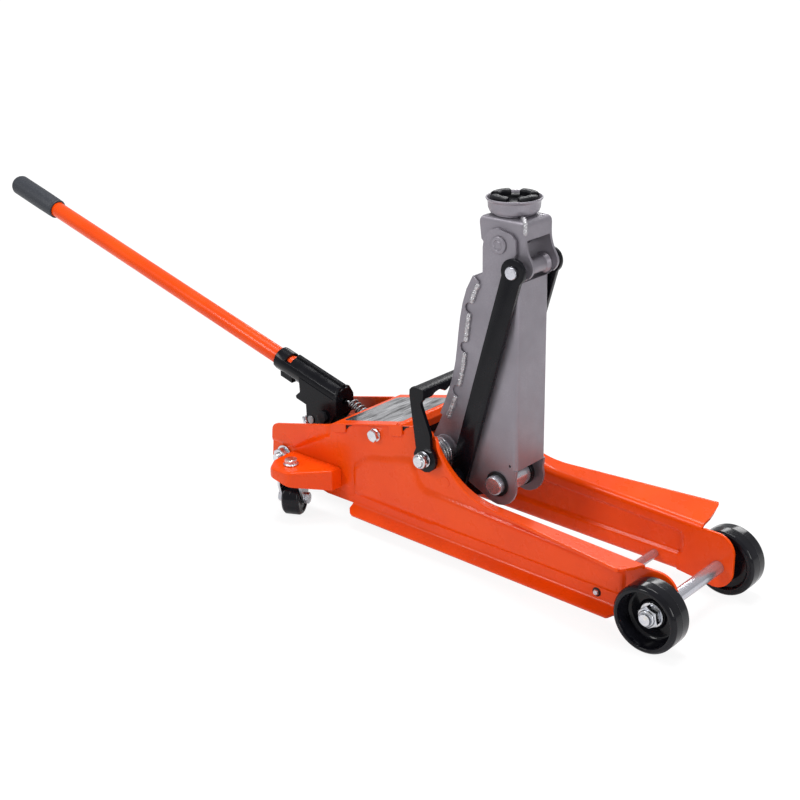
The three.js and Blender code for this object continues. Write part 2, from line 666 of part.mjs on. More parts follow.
const casterWheel = turnedY([-CASTER_TRAIL, CASTER_R], [
  [CASTER_AXLE_R + GAP, -CASTER_W / 2], [CASTER_R - 2, -CASTER_W / 2],
  [CASTER_R, -CASTER_W / 2 + 2.5], [CASTER_R, CASTER_W / 2 - 2.5],
  [CASTER_R - 2, CASTER_W / 2], [CASTER_AXLE_R + GAP, CASTER_W / 2],
], 18);
addPair('caster_wheel', parked(casterWheel), nylon);

const casterAxleAt = (y) => new THREE.Vector3(-CASTER_TRAIL, y, CASTER_R);
const casterAxle = join(
  rod(CASTER_AXLE_R, casterAxleAt(-FORK_OUT - 3), casterAxleAt(FORK_OUT + 5.5)),
  hexBar(11, casterAxleAt(-FORK_OUT - GAP - 4), AXIS_Y, 4),
  hexBar(11, casterAxleAt(FORK_OUT + GAP), AXIS_Y, 4.5),
);
addPair('caster_axle', parked(casterAxle), zinc);

// ---------------------------------------------------------------- lift arm

const HUB_R = 20; // arm side round the main pivot
const HEAD_R = 16; // arm side round the yoke pivot
const RIVET_R = 7;

const HEAD_REAR = shifted(ARM_HEAD, [-28, -36]); // upper end of the arm's curved rear edge
const REAR_CELLS = 12;
const rearCurve = new THREE.CurvePath();
const fromPivot = (dx, dz) => new THREE.Vector2(MAIN_PIVOT[0] + dx, MAIN_PIVOT[1] + dz);
rearCurve.add(new THREE.CubicBezierCurve(
  fromPivot(-17.9, 8.9), fromPivot(-4, 38), fromPivot(12, 70), fromPivot(17, 103),
));
rearCurve.add(new THREE.CubicBezierCurve(
  fromPivot(17, 103), fromPivot(21, 133), fromPivot(22, 168), new THREE.Vector2(...HEAD_REAR),
));

// A place on the arm's rear edge, from the pivot hub (0) up to REAR_CELLS, moved outward.
function rearEdge(cell, outward = 0) {
  const at = rearCurve.getPointAt(cell / REAR_CELLS);
  const along = rearCurve.getTangentAt(cell / REAR_CELLS);
  return [at.x - along.y * outward, at.y + along.x * outward];
}

function armOutline() {
  const [px, pz] = MAIN_PIVOT;
  const [ax, az] = ARM_HEAD;
  const [qx, qz] = CRANK;
  const shape = new THREE.Shape();
  shape.moveTo(ax - 19.5, az - 5);
  shape.quadraticCurveTo(ax - 19, az + 14, ax - 2, az + HEAD_R);
  shape.lineTo(ax + 14, az + 12);
  shape.lineTo(ax + 19.5, az + 7);
  shape.lineTo(ax + 20, az - 6);
  shape.lineTo(ax + 16, az - 14);
  shape.lineTo(ax + 13.5, az - 22);
  shape.lineTo(ax + 16.5, az - 29);
  shape.lineTo(ARM_FRONT_X - 2, ARM_WEB_Z[1] + 3);
  shape.lineTo(ARM_FRONT_X, ARM_WEB_Z[1]);
  shape.lineTo(ARM_FRONT_X, ARM_WEB_Z[0]);
  shape.absarc(qx, qz, CRANK_EAR_R, 0.35, -2.2, true);
  shape.lineTo(px + 8, pz - HUB_R + 1);
  shape.absarc(px, pz, HUB_R, -1.2, -3.6, true);
  for (let cell = 0; cell <= REAR_CELLS; cell += 1) shape.lineTo(...rearEdge(cell));
  shape.lineTo(ax - 19.5, az - 31);
  shape.closePath();
  return shape;
}

const FRONT_BEND_R = 5;

// The front web and its bends, as a channel seen from above.
function frontChannel() {
  const outer = rounded([
    [ARM_FRONT_X - 20, -ARM_HALF], [ARM_FRONT_X, -ARM_HALF, FRONT_BEND_R],
    [ARM_FRONT_X, ARM_HALF, FRONT_BEND_R], [ARM_FRONT_X - 20, ARM_HALF],
  ]);
  const inner = rounded([
    [ARM_FRONT_X - 30, -ARM_HALF + ARM_T], [ARM_FRONT_X - ARM_T, -ARM_HALF + ARM_T, 2],
    [ARM_FRONT_X - ARM_T, ARM_HALF - ARM_T, 2], [ARM_FRONT_X - 30, ARM_HALF - ARM_T],
  ]);
  return cut(prismZ(outer, ...ARM_WEB_Z, 4), prismZ(inner, 0, 2 * PAD_TOP, 3));
}

function liftArm() {
  const side = prismY(armOutline(), ARM_HALF - ARM_T, ARM_HALF, 4);
  const other = prismY(armOutline(), -ARM_HALF, -ARM_HALF + ARM_T, 4);
  const frontEdge = block(
    ARM_FRONT_X - FRONT_BEND_R, ARM_FRONT_X + 5, -ARM_HALF - 1, ARM_HALF + 1, ...ARM_WEB_Z,
  );
  const plates = cut(join(side, other), frontEdge);
  const bores = [[MAIN_PIVOT, SLEEVE_R], [CRANK, CRANK_R], [ARM_HEAD, RIVET_R]]
    .map(([at, radius]) => rodY(at, radius + GAP, -50, 50));
  const drain = rodY([ARM_FRONT_X - 8, ARM_WEB_Z[0] + 4], 1.5, -50, 50);
  return cut(join(plates, frontChannel()), ...bores, drain);
}

add('lift_arm', liftArm(), silver);

// Back channel: follows the arm's rear edge; its lips lap over the arm's sides, scalloped
// between the welded tabs.
const BACK_T = 2;
const LIP_W = 7;
const BACK_FROM = 2; // cells of the rear edge left bare at the hub
const SCALLOPS = [4.2, 7.2, 9.9]; // gaps between the welded tabs, in cells

function backPlate() {
  const cells = REAR_CELLS - BACK_FROM;
  const strip = (inner, outer, y0, y1) => formed(cells, 1, (u, v, w) => {
    const cell = BACK_FROM + Math.round(u * cells);
    const [x, z] = rearEdge(cell, THREE.MathUtils.lerp(inner, outer, v));
    return [x, THREE.MathUtils.lerp(y0, y1, w), z];
  });
  const out = ARM_HALF + GAP + BACK_T;
  const web = strip(GAP, GAP + BACK_T, -out, out);
  const lip = (y0) => strip(-LIP_W, GAP + 1, y0, y0 + BACK_T);
  const scallops = SCALLOPS.map((cell) => rodY(rearEdge(cell, -LIP_W), LIP_W - 1.5, -60, 60));
  return cut(join(web, lip(ARM_HALF + GAP), lip(-out)), ...scallops);
}

add('arm_back_plate', backPlate(), silver);

const sleeve = turnedY(MAIN_PIVOT, [
  [MAIN_R + GAP, -LINK_IN + 2 * GAP], [SLEEVE_R, -LINK_IN + 2 * GAP],
  [SLEEVE_R, LINK_IN - 2 * GAP], [MAIN_R + GAP, LINK_IN - 2 * GAP],
]);
add('arm_pivot_sleeve', sleeve, silver);

// Main pivot shaft: shouldered between the plates, threaded ends outside them.
const mainShaft = turnedY(MAIN_PIVOT, [
  [0, -CARRY_IN - 15], [MAIN_END_R - 1, -CARRY_IN - 15], [MAIN_END_R, -CARRY_IN - 14],
  [MAIN_END_R, -FRAME_HALF + GAP], [MAIN_R, -FRAME_HALF + GAP], [MAIN_R, FRAME_HALF - GAP],
  [MAIN_END_R, FRAME_HALF - GAP], [MAIN_END_R, CARRY_IN + 14],
  [MAIN_END_R - 1, CARRY_IN + 15], [0, CARRY_IN + 15],
]);
add('main_pivot_shaft', mainShaft, zinc);

// Ridged spacer between arm linkage and plate.
const SPACER_IN = LINK_IN + LINK_T + 0.8;
const SPACER_LENGTH = FRAME_HALF - GAP - SPACER_IN;
const ridge = (share, radius) => [radius, SPACER_IN + SPACER_LENGTH * share];
const pivotSpacer = turnedY(MAIN_PIVOT, [
  ridge(0, MAIN_R + GAP), ridge(0, 15.9), ridge(0.3, 15.9), ridge(0.4, 14), ridge(0.6, 14),
  ridge(0.7, 15.9), ridge(1, 15.9), ridge(1, MAIN_R + GAP),
]);
addPair('pivot_spacer', pivotSpacer, zinc);

addPair('main_pivot_nut', lockNut(
  MAIN_PIVOT, CARRY_IN + CARRY_T + GAP, 15, MAIN_END_R, 7, 8.5,
), zinc);

// Crank pin: carries the connecting links, kept in the arm's ears by a collar outside each.
const CLIP_IN = ARM_HALF + GAP;
const CONNECT_IN = ARM_HALF - ARM_T - 7.6; // centre plane to a connecting link's inner face
const half = [
  [13, CONNECT_IN - GAP], [CRANK_R, CONNECT_IN - GAP], [CRANK_R, CLIP_IN], [13.5, CLIP_IN],
  [13.5, CLIP_IN + 1.5], [CRANK_R, CLIP_IN + 1.5], [CRANK_R, 33], [0, 33],
];
add('crank_pin', turnedY(CRANK, bothWays(half)), steel);

const rivetHalf = [
  [RIVET_R, ARM_HALF + GAP], [8.8, ARM_HALF + GAP], [8.8, ARM_HALF + 1.4], [7.6, ARM_HALF + 2.2],
  [0, ARM_HALF + 2.2],
];
add('saddle_pivot_pin', turnedY(ARM_HEAD, bothWays(rivetHalf)), silver);

// ---------------------------------------------------------------- levelling links

// A flat bar with rounded ends between two pivots, with a pin hole at each.
function linkBar(from, to, width, holes, y0, y1, ends = [width / 2, width / 2]) {
  const [x0, z0] = from;
  const [x1, z1] = to;
  const length = Math.hypot(x1 - x0, z1 - z0);
  const side = [-(z1 - z0) / length, (x1 - x0) / length];
  const corner = ([x, z], reach) => [x + side[0] * reach, z + side[1] * reach];
  const bar = outline([
    corner(from, width / 2), corner(from, -width / 2), corner(to, -width / 2),
    corner(to, width / 2),
  ]);
  return cut(
    join(prismY(bar, y0, y1), rodY(from, ends[0], y0, y1), rodY(to, ends[1], y0, y1)),
    rodY(from, holes[0], y0 - 1, y1 + 1), rodY(to, holes[1], y0 - 1, y1 + 1),
  );
}

addPair('levelling_link', linkBar(
  LINK_LOW, LINK_HIGH, LINK_W, [LINK_PIN_R + GAP, LINK_PIN_R + GAP], LINK_IN,
  LINK_IN + LINK_T, [LINK_W / 2 + 0.5, LINK_W / 2 + 2.5],
), black);

// Lower link pin: head inside the link, shoulder against the side plate.
addPair('link_pin', turnedY(LINK_LOW, [
  [0, ARM_HALF + 2 * GAP], [10, ARM_HALF + 2 * GAP], [10, LINK_IN - GAP],
  [LINK_PIN_R, LINK_IN - GAP], [LINK_PIN_R, LINK_IN + LINK_T + GAP],
  [9, LINK_IN + LINK_T + GAP], [9, FRAME_HALF - GAP], [LINK_PIN_R, FRAME_HALF - GAP],
  [LINK_PIN_R, PLATE_OUT + 0.6], [0, PLATE_OUT + 0.6],
]), zinc);

const PIN_HEAD = LINK_IN + LINK_T + GAP;
const upperHalf = [
  [LINK_PIN_R, PIN_HEAD], [7.6, PIN_HEAD], [7.6, PIN_HEAD + 2.2], [6.8, PIN_HEAD + 3],
  [0, PIN_HEAD + 3],
];
add('upper_link_pin', turnedY(LINK_HIGH, bothWays(upperHalf)), zinc);

// ---------------------------------------------------------------- saddle

const YOKE_IN = YOKE_HALF - YOKE_T;
const YOKE_FRONT = SADDLE_X + 29; // front face of the yoke
const LIP_H = 19; // yoke's top edge folded down at the front
const STUD_R = 7;

// Yoke: sheet folded into a channel, its top edge folded down into a lip at the front and its
// cheeks drawn down to the links.
function saddleYoke() {
  const [ax, az] = ARM_HEAD;
  const [bx, bz] = LINK_HIGH;
  const shell = rounded([
    [-YOKE_HALF, 0], [-YOKE_HALF, YOKE_TOP, 6], [YOKE_HALF, YOKE_TOP, 6], [YOKE_HALF, 0],
  ]);
  const hollow = rounded([
    [-YOKE_IN, -1], [-YOKE_IN, YOKE_TOP - YOKE_T, 3], [YOKE_IN, YOKE_TOP - YOKE_T, 3],
    [YOKE_IN, -1],
  ]);
  const cheek = new THREE.Shape();
  cheek.moveTo(YOKE_FRONT - 8, YOKE_TOP);
  cheek.quadraticCurveTo(YOKE_FRONT, YOKE_TOP, YOKE_FRONT, YOKE_TOP - 8);
  cheek.lineTo(YOKE_FRONT, az + 10);
  cheek.quadraticCurveTo(YOKE_FRONT, bz + 20, bx + 14, bz + 10);
  cheek.quadraticCurveTo(bx + 20, bz + 1, bx + 11, bz - 7);
  cheek.absarc(bx, bz, 11.5, -0.6, -2.2, true);
  cheek.lineTo(ax, az - 15.5);
  cheek.absarc(ax, az, 15.5, -Math.PI / 2, -2.6, true);
  cheek.lineTo(SADDLE_X - 23, az + 2);
  cheek.lineTo(SADDLE_X - 25, YOKE_TOP - 8);
  cheek.quadraticCurveTo(SADDLE_X - 25, YOKE_TOP, SADDLE_X - 17, YOKE_TOP);
  cheek.closePath();
  const side = prismY(cheek, -YOKE_HALF, YOKE_HALF, 5);
  const lipBack = YOKE_FRONT - YOKE_T;
  const under = outline([
    [YOKE_FRONT + 60, YOKE_TOP - LIP_H], [YOKE_FRONT + 60, -1], [SADDLE_X - 60, -1],
    [SADDLE_X - 60, YOKE_TOP - YOKE_T], [lipBack - 6, YOKE_TOP - YOKE_T],
    [lipBack - 2, YOKE_TOP - YOKE_T - 2], [lipBack, YOKE_TOP - YOKE_T - 6],
    [lipBack, YOKE_TOP - LIP_H],
  ]);
  const room = prismX(hollow, SADDLE_X - 61, SADDLE_X + 61, 4);
  return cut(
    prismX(shell, SADDLE_X - 40, SADDLE_X + 60, 6).intersect(side),
    room.intersect(prismY(under, -YOKE_HALF, YOKE_HALF)),
    rodY(ARM_HEAD, RIVET_R + GAP, -50, 50),
    rodY(LINK_HIGH, LINK_PIN_R + GAP, -50, 50),
    rod(STUD_R + GAP, new THREE.Vector3(SADDLE_X, 0, YOKE_TOP - 20),
      new THREE.Vector3(SADDLE_X, 0, YOKE_TOP + 20)),
  );
}

add('saddle_yoke', saddleYoke(), silver);

// Tube between the yoke's cheeks round the upper link pin, flared at both ends.
const flare = YOKE_IN - GAP;
add('yoke_spacer', turnedY(LINK_HIGH, [
  [LINK_PIN_R + GAP, -flare], [10.5, -flare], [10.3, -flare + 1.5], [8, -flare + 5],
  [8, flare - 5], [10.3, flare - 1.5], [10.5, flare], [LINK_PIN_R + GAP, flare],
]), silver);

const atSaddle = (z) => new THREE.Vector3(SADDLE_X, 0, z);
const CUP_Z = YOKE_TOP + GAP;
const CUP_FLOOR = CUP_Z + 4; // floor inside the cup
const CUP_T = 2.2;

// Cup: dished steel saddle on a stud that turns in the yoke, kept by a clip below.
const saddleCup = turned([
  [0, CUP_Z - 9], [STUD_R, CUP_Z - 9], [STUD_R, CUP_Z - 7.5], [9, CUP_Z - 7.5],
  [9, YOKE_TOP - YOKE_T - GAP], [STUD_R, YOKE_TOP - YOKE_T - GAP], [STUD_R, CUP_Z],
  [20.5, CUP_Z], [23, CUP_Z + 2.5], [25.6, CUP_RIM_Z - 4.5],
  [CUP_RIM_R, CUP_RIM_Z - 1.2], [CUP_RIM_R, CUP_RIM_Z], [CUP_RIM_R - 1.5, CUP_RIM_Z],
  [24.6, CUP_RIM_Z - 3], [22, CUP_FLOOR], [0, CUP_FLOOR],
], atSaddle(0), AXIS_Z, 20);
add('saddle_cup', saddleCup, silver);

const PAD_FACE = CUP_RIM_Z - 5.5; // sunk face inside the ring of lugs

// Rubber pad: a dished disc seated in the cup, its crown cut into lugs.
function saddlePad() {
  const body = turned([
    [0, CUP_FLOOR + GAP], [PAD_R - 2.9, CUP_FLOOR + GAP],
    [PAD_R - 0.3, CUP_RIM_Z - 3], [PAD_R, CUP_RIM_Z], [PAD_R, PAD_TOP - 1.5],
    [PAD_R - 1.5, PAD_TOP], [PAD_R - 7.5, PAD_TOP], [PAD_R - 8.5, PAD_TOP - 1],
    [PAD_R - 9.5, PAD_FACE], [0, PAD_FACE],
  ], atSaddle(0), AXIS_Z, 20);
  const notches = [];
  for (let i = 0; i < PAD_LUGS; i += 1) {
    const angle = ((i + 0.5) / PAD_LUGS) * Math.PI * 2 + PAD_TURN;
    const half = Math.PI / PAD_LUGS * 0.36;
    const edge = (turn) => [
      SADDLE_X + 40 * Math.cos(angle + turn), 40 * Math.sin(angle + turn),
    ];
    const wedge = outline([[SADDLE_X, 0], edge(-half), edge(half)]);
    notches.push(prismZ(wedge, CUP_RIM_Z - 2, PAD_TOP + 5));
  }
  return cut(body, ...notches);
}

add('saddle_pad', saddlePad(), rubber);

// ---------------------------------------------------------------- hydraulic unit

const GLAND_T = 10;
const EYE_R = 11.5; // ram eye and connecting link end round the cross pin
const CONNECT_T = 5;
const GLAND_X = RAM_PIN_X - RAM_STROKE - EYE_R - 1; // front face of the gland
const PISTON_T = 6;
const atRam = (x) => new THREE.Vector3(x, 0, RAM_Z);

// Head block: a beam across the frame carrying the gland through which the ram slides.
function headBlock() {
  const [x0, x1] = HEAD_X;
  const low = HEAD_BOLT[1] - 14;
  const glandTop = topEdge(GLAND_X - GLAND_T) - 1.5;
  const beam = prismY(outline([
    [x0, low], [x1, low], [x1, topEdge(x1) - 1.5], [x0, topEdge(x0) - 1.5],
  ]), -FRAME_HALF + GAP, FRAME_HALF - GAP);
  const gland = join(
    rod(CYL_R + 4, atRam(GLAND_X - GLAND_T), atRam(GLAND_X)),
    block(GLAND_X - GLAND_T, GLAND_X, -CYL_R - 4, CYL_R + 4, RAM_Z, glandTop),
    block(GLAND_X - GLAND_T, x0 + 1, -CYL_R - 4, CYL_R + 4, low, glandTop),
  );
  return cut(
    join(beam, gland),
    rod(RAM_R + GAP, atRam(GLAND_X - 50), atRam(GLAND_X + 50)),
    rodY(HEAD_BOLT, HEAD_BOLT_R + GAP, FRAME_HALF - 13, FRAME_HALF + 5),
    rodY(HEAD_BOLT, HEAD_BOLT_R + GAP, -FRAME_HALF - 5, -FRAME_HALF + 13),
  );
}

add('head_block', headBlock(), steel);

const headBolt = join(
  rodY(HEAD_BOLT, HEAD_BOLT_R, FRAME_HALF - 12, PLATE_OUT + 2),
  rodY(HEAD_BOLT, 7.2, PLATE_OUT + GAP, PLATE_OUT + 1.6),
  hexBar(12, new THREE.Vector3(HEAD_BOLT[0], PLATE_OUT + 1, HEAD_BOLT[1]), AXIS_Y, 5.5),
);
addPair('head_bolt', headBolt, zinc);

const cylinder = turned([
  [CYL_BORE, 0], [CYL_R, 0], [CYL_R, GLAND_X - GLAND_T - BLOCK_X[1] - 2 * GAP],
  [CYL_BORE, GLAND_X - GLAND_T - BLOCK_X[1] - 2 * GAP],
], atRam(BLOCK_X[1] + GAP), AXIS_X);
add('hydraulic_cylinder', cylinder, black);

// Ram: piston, rod and eye; the cross pin's ends stand just proud of the eye's cheeks.
function ram() {
  const cross = CONNECT_IN - 2 * GAP;
  const rear = GLAND_X - GLAND_T - 1;
  return join(
    rod(CYL_BORE - GAP, atRam(rear - PISTON_T), atRam(rear)),
    rod(RAM_R, atRam(rear - 1), atRam(RAM_PIN_X - 4)),
    rodY([RAM_PIN_X, RAM_Z], EYE_R, -cross + 1, cross - 1),
    rodY([RAM_PIN_X, RAM_Z], 6, -cross, cross),
  );
}

add('ram', ram(), steel);

addPair('connecting_link', linkBar(
  [RAM_PIN_X, RAM_Z], CRANK, 19, [6 + GAP, CRANK_R + GAP], CONNECT_IN,
  CONNECT_IN + CONNECT_T, [EYE_R, 14.5],
), black);

// Pump block: closes the cylinder, carries the pump barrel, the socket's lug and the studs.
const BARREL_TOP = 60;
const STEP_X = -469.5; // rear step of the block begins here
const STEP_TOP = 57;
const LUG_HALF = 8;
const LUG_R = 9;
const VALVE_AT = new THREE.Vector3(-499, 0, 50);
const VALVE_AXIS = new THREE.Vector3(-11, 0, 28).normalize();
const valvePoint = (s) => VALVE_AT.clone().addScaledVector(VALVE_AXIS, s);
const STUD_DEEP = 20; // stud's length inside the block

function pumpBlock() {
  const [x0, x1] = BLOCK_X;
  const lug = outline([
    [STEP_X, RAM_Z], [x1 - 4, RAM_Z], [x1 - 4, 72.5], [SOCKET_PIVOT[0] + LUG_R, SOCKET_PIVOT[1]],
    [SOCKET_PIVOT[0] - LUG_R, SOCKET_PIVOT[1]], [STEP_X - 2, 76],
  ]);
  const bossIn = 20;
  const pumpAt = (z) => new THREE.Vector3(PUMP_X, 0, z);
  return cut(
    join(
      block(STEP_X, x1, -31, 31, 29, 79.5),
      block(x0, STEP_X + 1, -26, 26, 28, STEP_TOP),
      rodY(REAR_BOLT, 10.5, bossIn, FRAME_HALF - GAP),
      rodY(REAR_BOLT, 10.5, -FRAME_HALF + GAP, -bossIn),
      rod(11, pumpAt(30), pumpAt(BARREL_TOP)),
      prismY(lug, -LUG_HALF, LUG_HALF),
      rodY(SOCKET_PIVOT, LUG_R, -LUG_HALF, LUG_HALF),
      block(x0 - 9, x0 + 1, -9, 9, 34, STEP_TOP - 1),
    ),
    rod(CYL_BORE, atRam(-466), atRam(x1 + 10)),
    rod(PUMP_R + GAP, pumpAt(33), pumpAt(100)),
    rod(4 + GAP, valvePoint(-9), valvePoint(60)),
    rodY(SOCKET_PIVOT, 5 + GAP, -20, 20),
    rodY(REAR_BOLT, REAR_BOLT_R + GAP, FRAME_HALF - STUD_DEEP - 1, FRAME_HALF + 5),
    rodY(REAR_BOLT, REAR_BOLT_R + GAP, -FRAME_HALF - 5, -FRAME_HALF + STUD_DEEP + 1),
  );
}

add('pump_block', pumpBlock(), steel);

const rearStud = join(
  rodY(REAR_BOLT, REAR_BOLT_R, FRAME_HALF - STUD_DEEP, PLATE_OUT + 15.5),
  rodY(REAR_BOLT, 11, PLATE_OUT + GAP, PLATE_OUT + 2.3),
  hexBar(17, new THREE.Vector3(REAR_BOLT[0], PLATE_OUT + 2, REAR_BOLT[1]), AXIS_Y, 8),
);
addPair('rear_stud', rearStud, zinc);

const PLUNGER_CAP_Z = ROLLER[1] - ROLLER_R - 3 - GAP;
const plunger = turned([
  [0, 36], [PUMP_R, 36], [PUMP_R, PLUNGER_CAP_Z], [8, PLUNGER_CAP_Z],
  [8, PLUNGER_CAP_Z + 2.2], [7.2, PLUNGER_CAP_Z + 3], [0, PLUNGER_CAP_Z + 3],
], new THREE.Vector3(PUMP_X, 0, 0), AXIS_Z);
add('pump_plunger', plunger, steel);

const springWire = 1.1;
const pumpSpring = coil(
  new THREE.Vector3(PUMP_X, 0, BARREL_TOP + GAP + springWire),
  new THREE.Vector3(PUMP_X, 0, PLUNGER_CAP_Z - GAP - springWire), 7, springWire, 3,
);
add('pump_spring', pumpSpring, zinc);

// Release valve: spindle at the rear of the block, its head slotted for the handle.
function releaseValve() {
  const body = turned([
    [0, -6], [4, -6], [4, 12], [6, 12], [6.5, 13], [6.5, 17], [6, 18], [5, 18], [5, 29],
    [4, 30], [0, 30],
  ], VALVE_AT, VALVE_AXIS);
  const slot = new THREE.BoxGeometry(2, 12, 20).translate(0, 30, 0);
  return cut(body, solid(place(slot, VALVE_AT, VALVE_AXIS)));
}

add('release_valve', releaseValve(), zinc);

// ---------------------------------------------------------------- handle socket and handle

const HANDLE_AXIS = new THREE.Vector3(-Math.cos(HANDLE_RISE), 0, Math.sin(HANDLE_RISE));
const atHandle = (x, up = 0) => new THREE.Vector3(
  x + up * Math.sin(HANDLE_RISE), 0,
  HANDLE_AXIS_AT[1] + (HANDLE_AXIS_AT[0] - x) * Math.tan(HANDLE_RISE)
    + up * Math.cos(HANDLE_RISE),
);
const ROLLER_PIN_R = 3.5;
const CHEEK_OUT = CHEEK_IN + CHEEK_T;

// A box aligned with the handle: between two X stations, half width, and heights above the
// handle's axis.
function alongHandle(xRear, xFront, halfWidth, low, high) {
  const a = atHandle(xFront, low);
  const b = atHandle(xFront, high);
  const c = atHandle(xRear, high);
  const d = atHandle(xRear, low);
  return prismY(outline([[a.x, a.z], [b.x, b.z], [c.x, c.z], [d.x, d.z]]),
    -halfWidth, halfWidth);
}

function handleSocket() {
  const [front, rear] = SOCKET_X;
  const tube = rod(SOCKET_R, atHandle(rear), atHandle(front));
  const seam = alongHandle(rear + 24, front - 2, 2, SOCKET_R - 2, SOCKET_R + 3);
  const axisAt = (x) => atHandle(x).z;
  const cheek = outline([
    [-504, axisAt(-504)], [-503, 113], [-510, 107], [-509, 104], [-494, 100],
    [ROLLER[0] - 7.5, ROLLER[1]], [ROLLER[0] + 2, ROLLER[1] - 6],
    [SOCKET_PIVOT[0], SOCKET_PIVOT[1] - 10], [front - 7.5, 87], [front - 2, 95], [front - 2, axisAt(front - 2)],
  ]);
  const cheeks = join(
    prismY(cheek, CHEEK_IN, CHEEK_OUT),
    prismY(cheek, -CHEEK_OUT, -CHEEK_IN),
    ...[-CHEEK_OUT, CHEEK_IN].flatMap((y) => [
      rodY(ROLLER, 7.5, y, y + CHEEK_T), rodY(SOCKET_PIVOT, 10.5, y, y + CHEEK_T),
    ]),
  );
  const crossPlate = prismX(outline([
    [-CHEEK_OUT, SOCKET_PIVOT[1] + 5], [CHEEK_OUT, SOCKET_PIVOT[1] + 5],
    [CHEEK_OUT, axisAt(front) + 3], [8, axisAt(front) + SOCKET_R],
    [-8, axisAt(front) + SOCKET_R], [-CHEEK_OUT, axisAt(front) + 3],
  ]), front - 2, front + 2);
  const tail = prismY(outline([
    [rear + 4, axisAt(rear) - 19.4], [rear + 4, axisAt(rear) - 7.4],
    [rear + 22, axisAt(rear) - 11.4], [rear + 22, axisAt(rear) - 24.4],
  ]), -7, 7);
  const slant = outline([
    [rear - 20, 100], [rear + 2, 100], [rear - 6, 180], [rear - 20, 180],
  ]);
  return cut(
    join(tube, seam, cheeks, crossPlate, tail),
    rod(TUBE_R + 0.6, atHandle(rear - 60), atHandle(front - 6)),
    rod(4, new THREE.Vector3(front - 16, 0, SPRING_EYE_Z), new THREE.Vector3(front + 9, 0,
      SPRING_EYE_Z)),
    prismY(slant, -30, 30),
    alongHandle(rear + 15, rear + 23, 30, SOCKET_R - 7, SOCKET_R + 10),
    rodY(ROLLER, ROLLER_PIN_R + GAP, -30, 30),
    rodY(SOCKET_PIVOT, 5 + GAP, -30, 30),
  );
}

add('handle_socket', handleSocket(), black);

const pivotBolt = join(
  rodY(SOCKET_PIVOT, 5, -CHEEK_OUT - 6, CHEEK_OUT + 7),
  hexBar(13, new THREE.Vector3(SOCKET_PIVOT[0], -CHEEK_OUT - GAP - 4.5, SOCKET_PIVOT[1]),
    AXIS_Y, 4.5),
  hexBar(13, new THREE.Vector3(SOCKET_PIVOT[0], CHEEK_OUT + GAP, SOCKET_PIVOT[1]),
    AXIS_Y, 5),
);
add('socket_pivot_bolt', pivotBolt, zinc);

const rollerHalf = [
  [ROLLER_R, CHEEK_IN - 2 * GAP], [ROLLER_PIN_R, CHEEK_IN - 2 * GAP],
  [ROLLER_PIN_R, CHEEK_OUT + GAP], [5, CHEEK_OUT + GAP], [5, CHEEK_OUT + 1.6],
  [0, CHEEK_OUT + 1.6],
];
add('pump_roller', turnedY(ROLLER, bothWays(rollerHalf)), steel);

// Return spring: from the socket's front plate down to the gland, with straight tails.
function returnSpring() {
  const high = new THREE.Vector3(-436, 0, 113);
  const low = new THREE.Vector3(-392, 0, 94);
  const along = low.clone().sub(high).normalize();
  const foot = new THREE.Vector3(along.z, 0, -along.x).multiplyScalar(5);
  const start = high.clone().add(foot);
  const end = low.clone().add(foot);
  return join(
    coil(high, low, 5, 1.2, 6),
    rod(1.2, new THREE.Vector3(SOCKET_X[0] + 2.7, 0, SPRING_EYE_Z), start.clone().addScaledVector(along, 0.6)),
    rod(1.2, end.clone().addScaledVector(along, -0.6),
      new THREE.Vector3(GLAND_X - GLAND_T - 2 * GAP, 0, 88)),
  );
}

add('handle_return_spring', returnSpring(), zinc);

// Handle: a steel tube with a grip over its end.
const [TUBE_FRONT, TUBE_REAR] = TUBE_END_X;
const TUBE_T = 1.8;
const handleTube = cut(
  rod(TUBE_R, atHandle(TUBE_FRONT), atHandle(TUBE_REAR)),
  rod(TUBE_R - TUBE_T, atHandle(TUBE_FRONT + 5), atHandle(TUBE_REAR - 5)),
);
add('handle_tube', handleTube, paint);

function grip() {
  const [front, rear] = GRIP_X;
  const length = (front - rear) / Math.cos(HANDLE_RISE);
  const depth = (front - TUBE_REAR) / Math.cos(HANDLE_RISE) + 1;
  return turned([
    [TUBE_R + GAP, 0], [GRIP_R - 1, 0], [GRIP_R, 1.5], [GRIP_R, length - 3],
    [GRIP_R - 2.5, length], [0, length], [0, depth], [TUBE_R + GAP, depth],
  ], atHandle(front), HANDLE_AXIS);
}

add('handle_grip', grip(), rubber);

// ---------------------------------------------------------------- carrying handle

